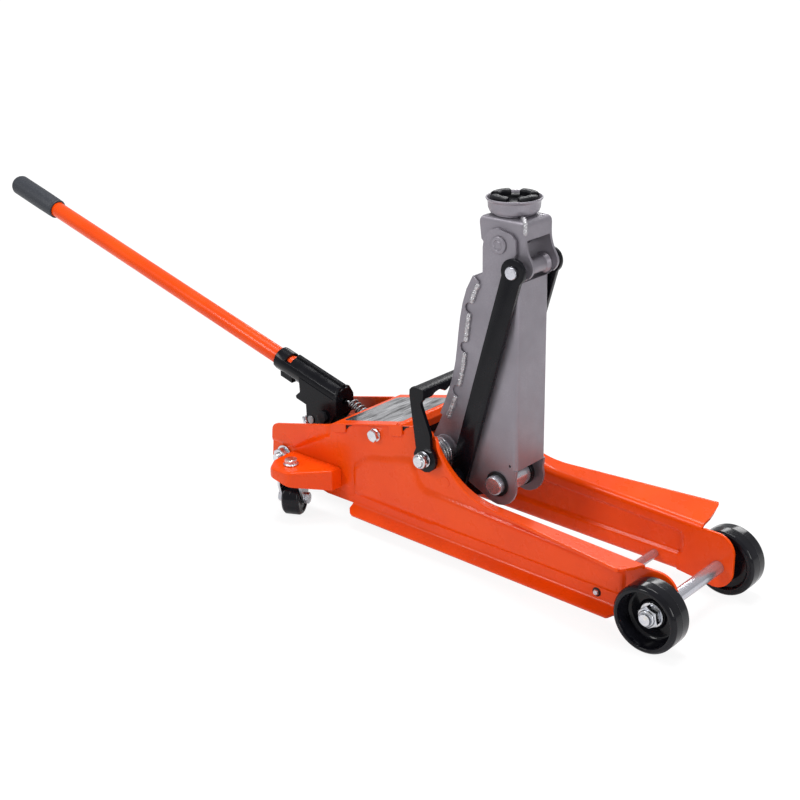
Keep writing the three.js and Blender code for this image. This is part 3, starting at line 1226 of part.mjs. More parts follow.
// A moulded arch: a strap down to the main pivot on each side and a bar across the top
// with finger scallops beneath.
function carryHandle() {
  const [px, pz] = MAIN_PIVOT;
  const [tx, tz] = CARRY_TOP;
  const out = CARRY_IN + CARRY_T;
  const strap = rounded([
    [px - 10, pz], [tx - 12, tz + 3, 8], [tx + 8.5, tz + 1, 3], [tx + 7, tz - 10, 2],
    [tx + 3, tz - 13, 5], [px + 7.5, pz + 28, 12], [px + 8.5, pz],
  ]);
  const arm = (y) => [
    prismY(strap, y, y + CARRY_T, 3),
    rodY(MAIN_PIVOT, 14.5, y, y + CARRY_T),
  ];
  const boss = [
    rodY(MAIN_PIVOT, 10, PLATE_OUT + GAP, CARRY_IN + 1),
    rodY(MAIN_PIVOT, 10, -CARRY_IN - 1, -PLATE_OUT - GAP),
  ];
  const bar = prismY(rounded([
    [tx - 9, tz - 9, 2], [tx - 10, tz + 2.5, 6], [tx + 8, tz + 1, 3], [tx + 7, tz - 10, 2],
  ]), -out, out, 2);
  const scallops = [];
  for (let i = -1.5; i < 2; i += 1) {
    scallops.push(rod(15, new THREE.Vector3(tx - 20, i * 23, tz - 20),
      new THREE.Vector3(tx + 20, i * 23, tz - 20)));
  }
  return cut(
    join(...arm(CARRY_IN), ...arm(-out), ...boss, bar),
    rodY(MAIN_PIVOT, MAIN_END_R + GAP, -90, 90),
    ...scallops,
  );
}

add('carry_handle', carryHandle(), black);

// ---------------------------------------------------------------- top cover

// Folded sheet over the hydraulic unit, resting on the plates' top edges.
function topCover() {
  const [x0, x1] = COVER_X;
  const out = PLATE_OUT + GAP + COVER_T;
  const seat = (x, up = 0) => [x, topEdge(x) + GAP + up];
  const top = topEdge(x1);
  const under = [seat(x0), seat(x1)];
  const over = [seat(x1, COVER_T), seat(x0, COVER_T)];
  const half = FRAME_HALF - 1;
  const sheet = prismY(outline([...under, ...over]), -out, out);
  const middle = prismY(outline([
    ...under, [x1 + 4, top - 1.2], [x1 + 7, top - 5], [x1 + 8, top - 11], [x1 + 10, top - 11],
    [x1 + 9, top - 3.6], [x1 + 5, top + 1.4], ...over,
  ]), -half, half);
  const tabs = [[x0, x0 + 19, 9], [x1 - 8, x1 + 10, 11]].flatMap(([a, b, drop]) => {
    const tab = outline([
      seat(a, COVER_T), seat(b, COVER_T), seat(b, -drop + 2), seat(b - 2, -drop),
      seat(a + 2, -drop), seat(a, -drop + 2),
    ]);
    return [prismY(tab, PLATE_OUT + GAP, out), prismY(tab, -out, -PLATE_OUT - GAP)];
  });
  return join(sheet, middle, ...tabs);
}

add('top_cover', topCover(), paint);

// ---------------------------------------------------------------- placing

const bounds = new THREE.Box3().setFromObject(jack);
const middle = (bounds.min.x + bounds.max.x) / 2;
jack.children.forEach((part) => part.geometry.translate(-middle, 0, 0));

export default jack;
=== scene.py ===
# %% [markdown]
# # A trolley jack, built piece by piece
# The jack's sizes, joints and moving bodies come from a drawing that is already packed. This
# lesson gives each piece its finished shape and surface. The first cell loads the drawing.

# %% Load the drawing
import math

import bmesh
import bpy
from mathutils import Matrix, Vector


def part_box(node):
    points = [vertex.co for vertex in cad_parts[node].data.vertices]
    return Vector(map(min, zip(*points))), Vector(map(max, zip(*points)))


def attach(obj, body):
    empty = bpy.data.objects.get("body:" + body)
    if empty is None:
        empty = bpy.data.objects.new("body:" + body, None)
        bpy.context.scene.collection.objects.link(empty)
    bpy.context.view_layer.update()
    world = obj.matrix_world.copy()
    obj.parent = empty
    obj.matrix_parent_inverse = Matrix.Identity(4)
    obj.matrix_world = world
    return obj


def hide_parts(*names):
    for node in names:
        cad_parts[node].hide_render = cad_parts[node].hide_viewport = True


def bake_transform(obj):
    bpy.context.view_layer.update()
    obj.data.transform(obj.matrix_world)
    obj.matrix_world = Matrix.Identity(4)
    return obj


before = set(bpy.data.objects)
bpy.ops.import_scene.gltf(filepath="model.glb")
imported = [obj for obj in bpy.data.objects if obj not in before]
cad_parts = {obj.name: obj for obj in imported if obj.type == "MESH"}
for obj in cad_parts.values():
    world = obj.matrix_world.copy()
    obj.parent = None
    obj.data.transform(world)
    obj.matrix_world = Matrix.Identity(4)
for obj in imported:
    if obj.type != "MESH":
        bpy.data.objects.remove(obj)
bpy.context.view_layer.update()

# %% [markdown]
# Blender counts in metres and a jack is drawn in millimetres, so every number below is in
# millimetres from two plain places: X from the front axle, Z from the floor. `at` turns such a
# place into Blender's metres. The axle's own box says where the drawing has put it. Most pins
# lie across the jack, and `on` gives a place on such a pin's axis, so far out from the middle.

# %% Places in millimetres
MM = 0.001
axle_low, axle_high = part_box("front_axle")
AXLE_X = (axle_low.x + axle_high.x) / 2


def at(x, y, z):
    return Vector((AXLE_X + x * MM, y * MM, z * MM))


def on(pin, y=0):
    return at(pin[0], y, pin[1])


ALONG_X = Vector((1, 0, 0))
ALONG_Y = Vector((0, 1, 0))
ALONG_Z = Vector((0, 0, 1))
MAIN_PIVOT = (-278, 107.5)
ARM_HEAD = (-212, 334.5)
LINK_LOW = (-256.5, 85.5)
LINK_HIGH = (-190.5, 312.5)
CRANK = (-211, 87)
RAM_PIN = (-276.9, 58)
SADDLE_X = -212.7
WHEEL_Z = 33.5
PLATE_IN = 50
print("front axle at X =", round(AXLE_X, 4), "m")

# %% [markdown]
# ## Surfaces
# Every surface on the jack is one of a few finishes: gloss paint, silver paint, satin black
# paint, bright zinc plate, bare steel, moulded nylon and rubber. None of them is one flat
# colour. Paint has a fine ripple, plate is cloudy, rubber is dusty. A small class keeps the
# node wiring short: it starts from a plain shader and adds one pattern at a time, as a tint, as
# roughness or as relief. A pattern is written as a scale for each metre, a number of octaves
# and a roughness. It reads object coordinates, so it stays on the piece when that moves. The
# mix node names its colour sockets alike, so they are told apart by number.


# %% Nodes, and a finish built up texture by texture
COLOUR_A, COLOUR_B, COLOUR_OUT = 6, 7, 2


def add_node(tree, kind, inputs=None, **settings):
    made = tree.nodes.new(kind)
    for label, value in settings.items():
        setattr(made, label, value)
    for label, value in (inputs or {}).items():
        made.inputs[label].default_value = value
    return made


class Finish:
    def __init__(self, name, colour, roughness, metallic=0.0, **sockets):
        self.material = bpy.data.materials.new(name)
        self.material.use_nodes = True
        self.tree = self.material.node_tree
        self.shader = self.tree.nodes["Principled BSDF"]
        self.colour = (*colour, 1.0)
        sockets.update(Base_Color=self.colour, Roughness=roughness, Metallic=metallic)
        for label, value in sockets.items():
            self.shader.inputs[label.replace("_", " ")].default_value = value
        self.place = self.node("ShaderNodeTexCoord").outputs["Object"]
        self.bump = None

    def node(self, kind, inputs=None, **settings):
        return add_node(self.tree, kind, inputs, **settings)

    def link(self, out, into):
        self.tree.links.new(out, into)

    def stretched(self, scale, turn=(0, 0, 0)):
        mapping = self.node("ShaderNodeMapping", {"Scale": scale, "Rotation": turn})
        self.link(self.place, mapping.inputs["Vector"])
        return mapping.outputs["Vector"]

    def noise(self, scale, detail=3.0, rough=0.55, where=None):
        sizes = {"Scale": scale, "Detail": detail, "Roughness": rough}
        made = self.node("ShaderNodeTexNoise", sizes)
        self.link(where or self.place, made.inputs["Vector"])
        return made.outputs["Fac"]

    def cells(self, scale):
        made = self.node("ShaderNodeTexVoronoi", {"Scale": scale})
        self.link(self.place, made.inputs["Vector"])
        return made.outputs["Distance"]

    def pattern(self, given):
        return self.noise(*given) if isinstance(given, tuple) else given

    def spread(self, value, low, high, to_low, to_high):
        ends = {"From Min": low, "From Max": high, "To Min": to_low, "To Max": to_high}
        made = self.node("ShaderNodeMapRange", ends)
        self.link(value, made.inputs["Value"])
        return made.outputs["Result"]

    def roughen(self, pattern, low, high):
        grain = self.pattern(pattern)
        self.link(self.spread(grain, 0.3, 0.7, low, high), self.shader.inputs["Roughness"])

    def tint(self, pattern, other, low=0.35, high=0.65):
        mask = self.pattern(pattern)
        mix = self.node("ShaderNodeMix", data_type="RGBA")
        colour_in = self.shader.inputs["Base Color"]
        if colour_in.is_linked:
            self.link(colour_in.links[0].from_socket, mix.inputs[COLOUR_A])
        else:
            mix.inputs[COLOUR_A].default_value = self.colour
        mix.inputs[COLOUR_B].default_value = (*other, 1.0)
        self.link(self.spread(mask, low, high, 0.0, 1.0), mix.inputs["Factor"])
        self.link(mix.outputs[COLOUR_OUT], colour_in)

    def relief(self, pattern, depth, strength=1.0):
        height = self.pattern(pattern)
        made = self.node("ShaderNodeBump", {"Distance": depth * MM, "Strength": strength})
        self.link(height, made.inputs["Height"])
        if self.bump:
            self.link(self.bump, made.inputs["Normal"])
        self.bump = made.outputs["Normal"]
        self.link(self.bump, self.shader.inputs["Normal"])


# %% [markdown]
# The orange is a sprayed gloss coat. Under a lamp it shows a sharp highlight with a faint
# ripple in it, which painters call orange peel, and the colour is a little deeper where the
# coat is thick. A second coat layer on the shader gives the wet highlight over the softer
# paint beneath.

# %% Orange gloss paint
orange = Finish("orange_gloss_paint", (0.86, 0.074, 0.001), 0.28, Coat_Weight=0.1,
                Coat_Roughness=0.06, Specular_IOR_Level=0.2)
orange.tint((14, 2), (0.79, 0.060, 0.001))
orange.tint((900, 2), (0.90, 0.088, 0.003), 0.58, 0.8)
orange.roughen((45, 4), 0.22, 0.36)
orange.relief((420, 2), 0.035, 0.6)
orange.relief((60, 2), 0.12, 0.35)
print("orange paint has", len(orange.tree.nodes), "nodes")

# %% [markdown]
# The lifting arm is sprayed silver. Silver paint holds small metal flakes, so it is partly
# metallic, a little grainy and never mirror-like.

# %% Silver paint
silver = Finish("silver_paint", (0.285, 0.265, 0.30), 0.38, 0.6, Coat_Weight=0.12,
                Coat_Roughness=0.2)
silver.tint((1600, 2), (0.40, 0.38, 0.42), 0.5, 0.72)
silver.tint((11, 3), (0.245, 0.228, 0.258))
silver.roughen((70, 4), 0.36, 0.52)
silver.relief((500, 3), 0.05, 0.6)
silver.relief((40, 2), 0.15, 0.3)

# A lighter copy of the same silver paint goes on the welds. Its lighter colour is painted highlight,
# the light that the rounded beads catch.
silver_with_painted_highlight = Finish("silver_over_weld_painted_highlight", (0.52, 0.51, 0.53), 0.3, 0.6, Coat_Weight=0.3,
                       Coat_Roughness=0.15)
silver_with_painted_highlight.tint((260, 3), (0.30, 0.29, 0.31), 0.4, 0.7)
silver_with_painted_highlight.roughen((300, 3), 0.2, 0.42)
silver_with_painted_highlight.relief((600, 2), 0.05, 0.6)
print("silver paint, on sheet and on weld")

# %% [markdown]
# The links and the socket are dipped in satin black, and the pump's casting is a coarser
# black with the grain of the sand mould in it.

# %% Black paints
satin_black = Finish("satin_black_paint", (0.004, 0.004, 0.006), 0.3, 0.0,
                     Specular_IOR_Level=0.17)
satin_black.tint((30, 4), (0.008, 0.008, 0.011), 0.45, 0.75)
satin_black.roughen((90, 4), 0.13, 0.3)
satin_black.relief((350, 3), 0.03, 0.5)

cast_black = Finish("cast_black_paint", (0.009, 0.009, 0.011), 0.4, Specular_IOR_Level=0.22)
cast_black.tint((120, 5), (0.025, 0.025, 0.03), 0.5, 0.8)
cast_black.roughen((160, 5), 0.42, 0.65)
cast_black.relief((260, 6, 0.7), 0.35, 0.8)
print("two black paints")

# %% [markdown]
# Nuts, bolts and the axle are zinc plated. Zinc is bright but cloudy, with a faint blue and
# straw tint where the plating bath passivated it. The turned steel of the ram and pins keeps
# the fine rings of the lathe instead.

# %% Zinc plate and bare steel
zinc = Finish("bright_zinc_plate", (0.66, 0.67, 0.69), 0.24, 1.0)
zinc.tint((85, 4), (0.52, 0.54, 0.60), 0.42, 0.7)
zinc.tint((130, 3), (0.72, 0.68, 0.56), 0.6, 0.85)
zinc.roughen((200, 5), 0.16, 0.38)
zinc.relief((500, 2), 0.012, 0.35)

steel = Finish("turned_steel", (0.46, 0.45, 0.44), 0.3, 1.0)
steel.tint((60, 4), (0.34, 0.33, 0.33))
steel.roughen((300, 2, 0.5, steel.stretched((1, 9, 1))), 0.22, 0.42)
steel.relief((500, 2, 0.5, steel.stretched((1, 7, 1))), 0.03, 0.6)

dull_steel = Finish("oiled_spring_steel", (0.30, 0.30, 0.31), 0.36, 1.0)
dull_steel.tint((150, 4), (0.16, 0.15, 0.15), 0.5, 0.8)
dull_steel.roughen((240, 4), 0.3, 0.5)
drawn_bar = Finish("drawn_bright_bar", (0.62, 0.62, 0.67), 0.24, 0.8)
drawn_bar.tint((1, 2, 0.5, drawn_bar.stretched((500, 8, 500))),
               (0.46, 0.46, 0.51), 0.35, 0.75)
drawn_bar.roughen((40, 2), 0.2, 0.3)
print("four bare metals")

# %% [markdown]
# The wheels are moulded nylon, glossy and nearly black. The grip and the saddle pad are
# rubber, which scatters light and gathers dust in its grain.

# %% Nylon and rubber
nylon = Finish("moulded_black_nylon", (0.004, 0.004, 0.006), 0.14, Specular_IOR_Level=0.22)
nylon.tint((55, 3), (0.008, 0.008, 0.011))
nylon.roughen((110, 4), 0.08, 0.2)
nylon.relief((160, 2), 0.05, 0.5)

rubber = Finish("black_rubber", (0.004, 0.004, 0.006), 0.42, Specular_IOR_Level=0.2)
rubber.tint((220, 5), (0.012, 0.012, 0.015), 0.5, 0.85)
rubber.roughen((260, 4), 0.3, 0.55)
rubber.relief((520, 4), 0.18, 0.8)

grip_foam = Finish("grip_rubber", (0.020, 0.023, 0.031), 0.5)
grip_foam.tint((400, 3), (0.042, 0.047, 0.058), 0.5, 0.8)
grip_foam.relief(grip_foam.cells(1500), 0.12, 0.7)

white_nylon = Finish("nut_locking_ring", (0.55, 0.57, 0.62), 0.4)
white_nylon.roughen((300, 3), 0.3, 0.5)
white_nylon.relief((600, 2), 0.03, 0.5)
print("nylon, rubber and grip")

# %% [markdown]
# ## Shapes
# Most of a jack is turned, sheared or folded. The helpers in this part make those three kinds
# of shape. `eased` comes first: no real edge is perfectly sharp, and an edge without a small
# radius catches no light, so every drawn corner is replaced by a short arc.


# %% Ease the corners of a profile
def eased(points, radius, closed=False, steps=3):
    count = len(points)
    out = []
    for i, point in enumerate(points):
        here = Vector(point[:2])
        if not closed and i in (0, count - 1):
            out.append(here)
            continue
        before = Vector(points[i - 1][:2]) - here
        after = Vector(points[(i + 1) % count][:2]) - here
        if before.length < 1e-6 or after.length < 1e-6:
            continue
        turn = before.angle(-after)
        own = point[2] if len(point) > 2 else radius
        if turn < math.radians(8) or own <= 0:
            out.append(here)
            continue
        reach = min(own * math.tan(turn / 2), 0.45 * before.length, 0.45 * after.length)
        start = here + before.normalized() * reach
        end = here + after.normalized() * reach
        for k in range(steps + 1):
            t = k / steps
            out.append(start * (1 - t) ** 2 + here * 2 * t * (1 - t) + end * t * t)
    return [(p.x, p.y) for p in out]


# %% [markdown]
# Every mesh goes through `tidy`: it merges doubled points, points the faces outward and shades
# smooth except across corners sharper than a set angle. `linked` puts anything into the scene.
# `placed` gives a mesh its finish and its object, which stays at the origin, as the drawing's
# own pieces do, with its place in its points. `settled` keeps what a curve or a node tree makes
# as a plain mesh.


# %% Make a piece from points and faces
MERGE, SLIVER = 2e-6, 1e-6


def tidy(mesh, sharp=38, outward=True):
    work = bmesh.new()
    work.from_mesh(mesh)
    bmesh.ops.remove_doubles(work, verts=work.verts, dist=MERGE)
    bmesh.ops.dissolve_degenerate(work, edges=work.edges, dist=SLIVER)
    if outward:
        bmesh.ops.recalc_face_normals(work, faces=work.faces)
    work.to_mesh(mesh)
    work.free()
    mesh.shade_smooth()
    mesh.set_sharp_from_angle(angle=math.radians(sharp))
    return mesh


def linked(name, data):
    made = bpy.data.objects.new(name, data)
    bpy.context.scene.collection.objects.link(made)
    return made


def placed(name, mesh, finish):
    mesh.name = name
    mesh.materials.clear()
    mesh.materials.append(finish.material)
    return linked(name, mesh)


def new_piece(name, points, faces, finish, sharp=38, outward=True):
    mesh = bpy.data.meshes.new(name)
    mesh.from_pydata([tuple(p) for p in points], [], faces)
    return placed(name, tidy(mesh, sharp, outward), finish)


def settled(shape):
    seen = shape.evaluated_get(bpy.context.evaluated_depsgraph_get())
    mesh = bpy.data.meshes.new_from_object(seen)
    bpy.data.objects.remove(shape)
    return mesh


# %% [markdown]
# A lathe makes a turned piece: a profile of radius and height is swung round an axis. `skin`
# does the same work for any stack of closed rings, so it also makes threads and hexagons. Three
# short functions write the profiles that come up most: a rod, a tube and a piece with both of
# its ends alike, which is listed from its end to its middle.


# %% Skin over rings
def skin(name, rings, finish, loop=False, sharp=38):
    points, faces, starts = [], [], []
    for ring in rings:
        starts.append((len(points), len(ring)))
        points.extend(ring)
    for (a, na), (b, nb) in zip(starts, starts[1:] + starts[:1] if loop else starts[1:]):
        count = max(na, nb)
        for i in range(count if count > 1 else 0):
            j = (i + 1) % count
            if na == 1:
                faces.append((a, b + j, b + i))
            elif nb == 1:
                faces.append((a + i, a + j, b))
            else:
                faces.append((a + i, a + j, b + j, b + i))
    if not loop:
        for start, count in (starts[0], starts[-1]):
            if count > 2:
                faces.append(tuple(range(start, start + count)))
    return new_piece(name, points, faces, finish, sharp)


# %% Turned pieces and their profiles
def round_frame(axis):
    axis = axis.normalized()
    side = axis.cross(ALONG_Z if abs(axis.z) < 0.9 else ALONG_X).normalized()
    return axis, side, axis.cross(side)


def angles(count):
    return [2 * math.pi * i / count for i in range(count)]


def spoke(side, other, a):
    return side * math.cos(a) + other * math.sin(a)


def turned(name, profile, origin, axis, finish, segments=96, ease=0.4):
    bored = profile[0][0] > 0
    axis, side, other = round_frame(axis)
    rings = []
    for radius, height in eased(profile, ease, bored):
        centre = origin + axis * (height * MM)
        if radius < 1e-4:
            rings.append([centre])
            continue
        rings.append([centre + spoke(side, other, a) * (radius * MM) for a in angles(segments)])
    return skin(name, rings, finish, bored)


def rod(radius, low, high):
    return [(0, low), (radius, low), (radius, high), (0, high)]


def tube(bore, radius, low, high):
    return [(bore, low), (radius, low), (radius, high), (bore, high)]


def both_ends(half):
    return [(r, -h, *e) for r, h, *e in half] + [(r, h, *e) for r, h, *e in reversed(half)]


# %% [markdown]
# A thread is a stack of rings whose radius rises and falls with height and with the way round,
# so the ridge climbs by one pitch for each turn. It fades out at both ends.


# %% Threads
def thread(name, radius, start, length, axis, finish, pitch, depth=0.55):
    axis, side, other = round_frame(axis)
    segments, per_turn = 40, 6
    rows = int(length / pitch * per_turn) + 1
    rings = [[start]]
    for row in range(rows + 1):
        height = min(length, row * pitch / per_turn)
        taper = max(min(1.0, (length - height) / pitch, height / (0.3 * pitch) + 0.2), 0)
        ring = []
        for i, a in enumerate(angles(segments)):
            wave = (height / pitch - i / segments) % 1.0
            cut = abs(wave - 0.5) * 2
            r = radius - depth * (cut * taper + (1 - taper))
            ring.append(start + axis * (height * MM) + spoke(side, other, a) * (r * MM))
        rings.append(ring)
    rings.append([start + axis * (length * MM)])
    return skin(name, rings, finish, False, 50)


# %% [markdown]
# A nut or bolt head is a hexagon whose corners are turned off at thirty degrees. That leaves
# the arched edges one sees on every real nut. The height of each wall is found from how far
# that corner stands out past the turned circle.


# %% Hexagons
def hexagon(name, across, start, height, axis, finish, bore=0.0, both=True, turn=0.0):
    axis, side, other = round_frame(axis)
    flat = across / 2
    face = flat * 0.95
    drop = math.tan(math.radians(30))
    wall = [(a + turn, flat / math.cos((a % (math.pi / 3)) - math.pi / 6)) for a in angles(72)]

    def ring(radius, level):
        return [start + axis * (level(r) * MM) + spoke(side, other, a) * (radius(r) * MM)
                for a, r in wall]

    rings = [
        ring(lambda r: face if both else r - 0.2, lambda r: 0.0),
        ring(lambda r: r, lambda r: (r - face) * drop if both else 0.0),
        ring(lambda r: r, lambda r: height - (r - face) * drop),
        ring(lambda r: face, lambda r: height),
        ring(lambda r: face - 0.4, lambda r: height + 0.02),
    ]
    if not bore:
        rings = [[start], *rings, [start + axis * (height * MM)]]
        return skin(name, rings, finish, False, 30)
    rings += [ring(lambda r: bore + 0.6, lambda r: height),
              ring(lambda r: bore, lambda r: height - 0.6),
              ring(lambda r: bore, lambda r: 0.0)]
    return skin(name, rings, finish, True, 30)


# %% [markdown]
# Links, straps and fork legs are sheared from plate. Blender's flat curve can be filled,
# given a thickness and a rounded edge in one step, and holes are simply further loops inside
# the first. It is turned into a mesh before it is stood up on edge.


# %% Sheared plates
def circle_loop(centre, radius):
    x, z = centre
    return [(x + radius * math.cos(a), z + radius * math.sin(a)) for a in angles(48)]


def bar_loop(a, b, half, end_a, end_b):
    a, b = Vector(a), Vector(b)
    heading = math.atan2(b.y - a.y, b.x - a.x)
    loop = []
    for centre, radius, turn in ((b, end_b, 0), (a, end_a, math.pi)):
        lean = math.acos(min(1.0, half / radius))
        for k in range(25):
            share = -math.pi / 2 - lean + (math.pi + 2 * lean) * k / 24
            angle = heading + share + turn
            loop.append((centre.x + radius * math.cos(angle),
                         centre.y + radius * math.sin(angle)))
    return loop


def sheared(name, loops, y0, y1, finish, edge):
    curve = bpy.data.curves.new(name, "CURVE")
    curve.dimensions = "2D"
    curve.fill_mode = "BOTH"
    for loop in loops:
        spline = curve.splines.new("POLY")
        spline.points.add(len(loop) - 1)
        for point, (x, z) in zip(spline.points, loop):
            point.co = (x * MM, z * MM, 0, 1)
        spline.use_cyclic_u = True
    curve.extrude = ((y1 - y0) / 2 - edge) * MM
    curve.bevel_depth = edge * MM
    curve.bevel_resolution = 2
    curve.offset = -edge * MM
    mesh = settled(linked(name + "_curve", curve))
    stand = Matrix.Rotation(math.radians(90), 4, "X")
    mesh.transform(Matrix.Translation((AXLE_X, (y0 + y1) / 2 * MM, 0)) @ stand)
    return placed(name, tidy(mesh, 40), finish)


# %% [markdown]
# Some pieces have exactly the right shape in the drawing and only lack softened edges. A copy
# of such a piece is merged, its flat areas are joined up and a bevel rounds every corner
# sharper than a fold. The drawing's own mesh is never touched.


# %% Soften a drawn piece
def softened(node, name, finish, width, angle=28, segments=2):
    mesh = bpy.data.meshes.new(name)
    work = bmesh.new()
    work.from_mesh(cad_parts[node].data)
    bmesh.ops.remove_doubles(work, verts=work.verts, dist=MERGE)
    bmesh.ops.dissolve_limit(work, angle_limit=math.radians(0.8), verts=work.verts,
                             edges=work.edges)
    work.to_mesh(mesh)
    work.free()
    if "custom_normal" in mesh.attributes:
        mesh.attributes.remove(mesh.attributes["custom_normal"])
    mesh.shade_smooth()
    mesh.set_sharp_from_angle(angle=math.radians(46))
    piece = placed(name, mesh, finish)
    bevel = piece.modifiers.new("eased_edges", "BEVEL")
    bevel.width = width * MM
    bevel.segments = segments
    bevel.limit_method = "ANGLE"
    bevel.angle_limit = math.radians(angle)
    weighted = piece.modifiers.new("even_shading", "WEIGHTED_NORMAL")
    weighted.keep_sharp = True
    return piece


# %% [markdown]
# Three small jobs come up for every piece: joining parts into one, making the mirror twin for
# the other side, and mounting the result. Mounting says which moving body carries the piece
# and which drawn pieces it stands for. `mount_drawn` softens a drawn piece and mounts it in
# its own place.


# %% Join, mirror and mount
def joined(name, parts):
    target = parts[0]
    with bpy.context.temp_override(active_object=target, object=target,
                                   selected_objects=parts, selected_editable_objects=parts):
        bpy.ops.object.join()
    target.name = name
    target.data.name = name
    return target


def twin(piece, name):
    other = piece.copy()
    other.data = piece.data.copy()
    other.name = other.data.name = name
    other.data.transform(Matrix.Scale(-1, 4, ALONG_Y))
    other.data.flip_normals()
    bpy.context.scene.collection.objects.link(other)
    return other


mounted = []


def mount(piece, body, slot, *nodes):
    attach(piece, body)
    if nodes:
        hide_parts(*nodes)
    mounted.append(piece.name)


def mount_drawn(node, name, finish, body, slot, *edges):
    mount(softened(node, name, finish, *edges), body, slot, node)


def mount_pair(piece, body, slot, node, name, own_body=False):
    other = twin(piece, name + "_right")
    piece.name = piece.data.name = name + "_left"
    for half, side in ((piece, "_left"), (other, "_right")):
        nodes = [node + side] if node else []
        mount(half, body + side if own_body else body, slot, *nodes)


# %% [markdown]
# ## Repeats with Geometry Nodes
# What repeats along a path is made by a node tree with named sizes: the coils of a spring, the
# ripples of a weld and the lugs round the pad. `node_tree` makes the empty tree, `wire` joins
# its nodes and `finish_tree` makes its copies real and paints them. `grown` then sets the
# inputs, evaluates the tree once and keeps the result.


# %% Node trees and plain results
def node_tree(name, inputs):
    tree = bpy.data.node_groups.new(name, "GeometryNodeTree")
    tree.interface.new_socket("Geometry", in_out="INPUT", socket_type="NodeSocketGeometry")
    for label, kind, value in (*inputs, ("Material", "Material", None)):
        socket = tree.interface.new_socket(label, in_out="INPUT",
                                           socket_type="NodeSocket" + kind)
        if value is not None:
            socket.default_value = value
    tree.interface.new_socket("Geometry", in_out="OUTPUT", socket_type="NodeSocketGeometry")
    return tree, tree.nodes.new("NodeGroupInput"), tree.nodes.new("NodeGroupOutput")


def wire(tree, *rows):
    for start, out, end, into in rows:
        tree.links.new(start.outputs[out], end.inputs[into])


def finish_tree(tree, last, out, source, sink):
    real = add_node(tree, "GeometryNodeRealizeInstances")
    paint = add_node(tree, "GeometryNodeSetMaterial")
    wire(tree, (last, out, real, "Geometry"), (real, "Geometry", paint, "Geometry"),
         (source, "Material", paint, "Material"), (paint, "Geometry", sink, "Geometry"))


def grown(name, tree, finish, host=None, move=None, **values):
    if not host:
        host = linked(name + "_host", bpy.data.meshes.new(name + "_host"))
    modifier = host.modifiers.new(name, "NODES")
    modifier.node_group = tree
    values["Material"] = finish.material
    for item in tree.interface.items_tree:
        if item.in_out == "INPUT" and item.name in values:
            modifier[item.identifier] = values[item.name]
    mesh = settled(host)
    if move:
        mesh.transform(move)
    return placed(name, tidy(mesh, 50), finish)


# %% Spring tree
spring_tree, source, sink = node_tree("coil_spring", [
    ("Turns", "Float", 5.0), ("Radius", "Float", 0.006), ("Height", "Float", 0.03),
    ("Wire", "Float", 0.001), ("Resolution", "Int", 24),
])
helix = add_node(spring_tree, "GeometryNodeCurveSpiral")
round_wire = add_node(spring_tree, "GeometryNodeCurvePrimitiveCircle", {"Resolution": 12})
sweep = add_node(spring_tree, "GeometryNodeCurveToMesh", {"Fill Caps": True})
wire(spring_tree, (source, "Turns", helix, "Rotations"), (source, "Radius", helix, "Start Radius"),
     (source, "Radius", helix, "End Radius"), (source, "Height", helix, "Height"),
     (source, "Resolution", helix, "Resolution"), (source, "Wire", round_wire, "Radius"),
     (helix, "Curve", sweep, "Curve"), (round_wire, "Curve", sweep, "Profile Curve"))
finish_tree(spring_tree, sweep, "Mesh", source, sink)
print("spring tree has", len(spring_tree.nodes), "nodes")

# %% [markdown]
# A hand-laid weld is a row of overlapping drops. The tree takes a path of points, resamples it
# to an even step and sets a low round drop at each, a little larger or smaller by chance with
# a fixed seed, so it comes out the same every time.

# %% Weld tree
weld_tree, source, sink = node_tree("weld_bead", [
    ("Step", "Float", 0.0016), ("Size", "Float", 0.0022), ("Seed", "Int", 3),
])
LEAST, MOST, CHOSEN = 2, 3, 1
path = add_node(weld_tree, "GeometryNodeMeshToCurve")
even = add_node(weld_tree, "GeometryNodeResampleCurve", mode="LENGTH")
drop = add_node(weld_tree, "GeometryNodeMeshUVSphere", {"Segments": 10, "Rings": 6})
rows = add_node(weld_tree, "GeometryNodeInstanceOnPoints")
chance = add_node(weld_tree, "FunctionNodeRandomValue", {LEAST: 0.85, MOST: 1.15})
wire(weld_tree, (source, "Geometry", path, "Mesh"), (path, "Curve", even, "Curve"),
     (source, "Step", even, "Length"), (source, "Size", drop, "Radius"),
     (even, "Curve", rows, "Points"), (drop, "Mesh", rows, "Instance"),
     (source, "Seed", chance, "Seed"), (chance, CHOSEN, rows, "Scale"))
finish_tree(weld_tree, rows, "Instances", source, sink)


def weld(name, points, finish, size, step, seed):
    mesh = bpy.data.meshes.new(name + "_path")
    steps = [(i, i + 1) for i in range(len(points) - 1)]
    mesh.from_pydata([tuple(p) for p in points], steps, [])
    host = linked(name + "_path", mesh)
    return grown(name, weld_tree, finish, host, Step=step * MM, Size=size * MM, Seed=seed)


print("weld tree has", len(weld_tree.nodes), "nodes")

# %% [markdown]
# ## Side plates
# Each side of the frame is one pressing: a wall with a field pushed out of it, a flange rolled
# over at the top of the low front run and a skirt rolled out at the foot. It is drawn as the
# press makes it, as a single sheet. A column of points is taken at each place along the jack,
# running from the skirt's edge up the wall and out to the flange's edge, and the sheet then
# gets its thickness. First come the lines that the wall runs between.

# %% Measures of the plate
SHEET = 3.0
RUN_SLOPE = 0.045
RUN_FRONT, RUN_BACK = -20, -190
TILT = math.atan(RUN_SLOPE)
BEND = 7.0
FLANGE_SWEEP = math.radians(78)
BEND_SET = BEND * math.tan(FLANGE_SWEEP / 2)
CURVE_R = 88.0
CURVE_TURN = math.radians(66.9)


def run_z(x):
    return 71.5 + (RUN_FRONT - x) * RUN_SLOPE


def top_edge(x):
    return 88 + (x + 500) * 0.236


CURVE_AT = (RUN_BACK + CURVE_R * math.sin(TILT), run_z(RUN_BACK) + CURVE_R * math.cos(TILT))


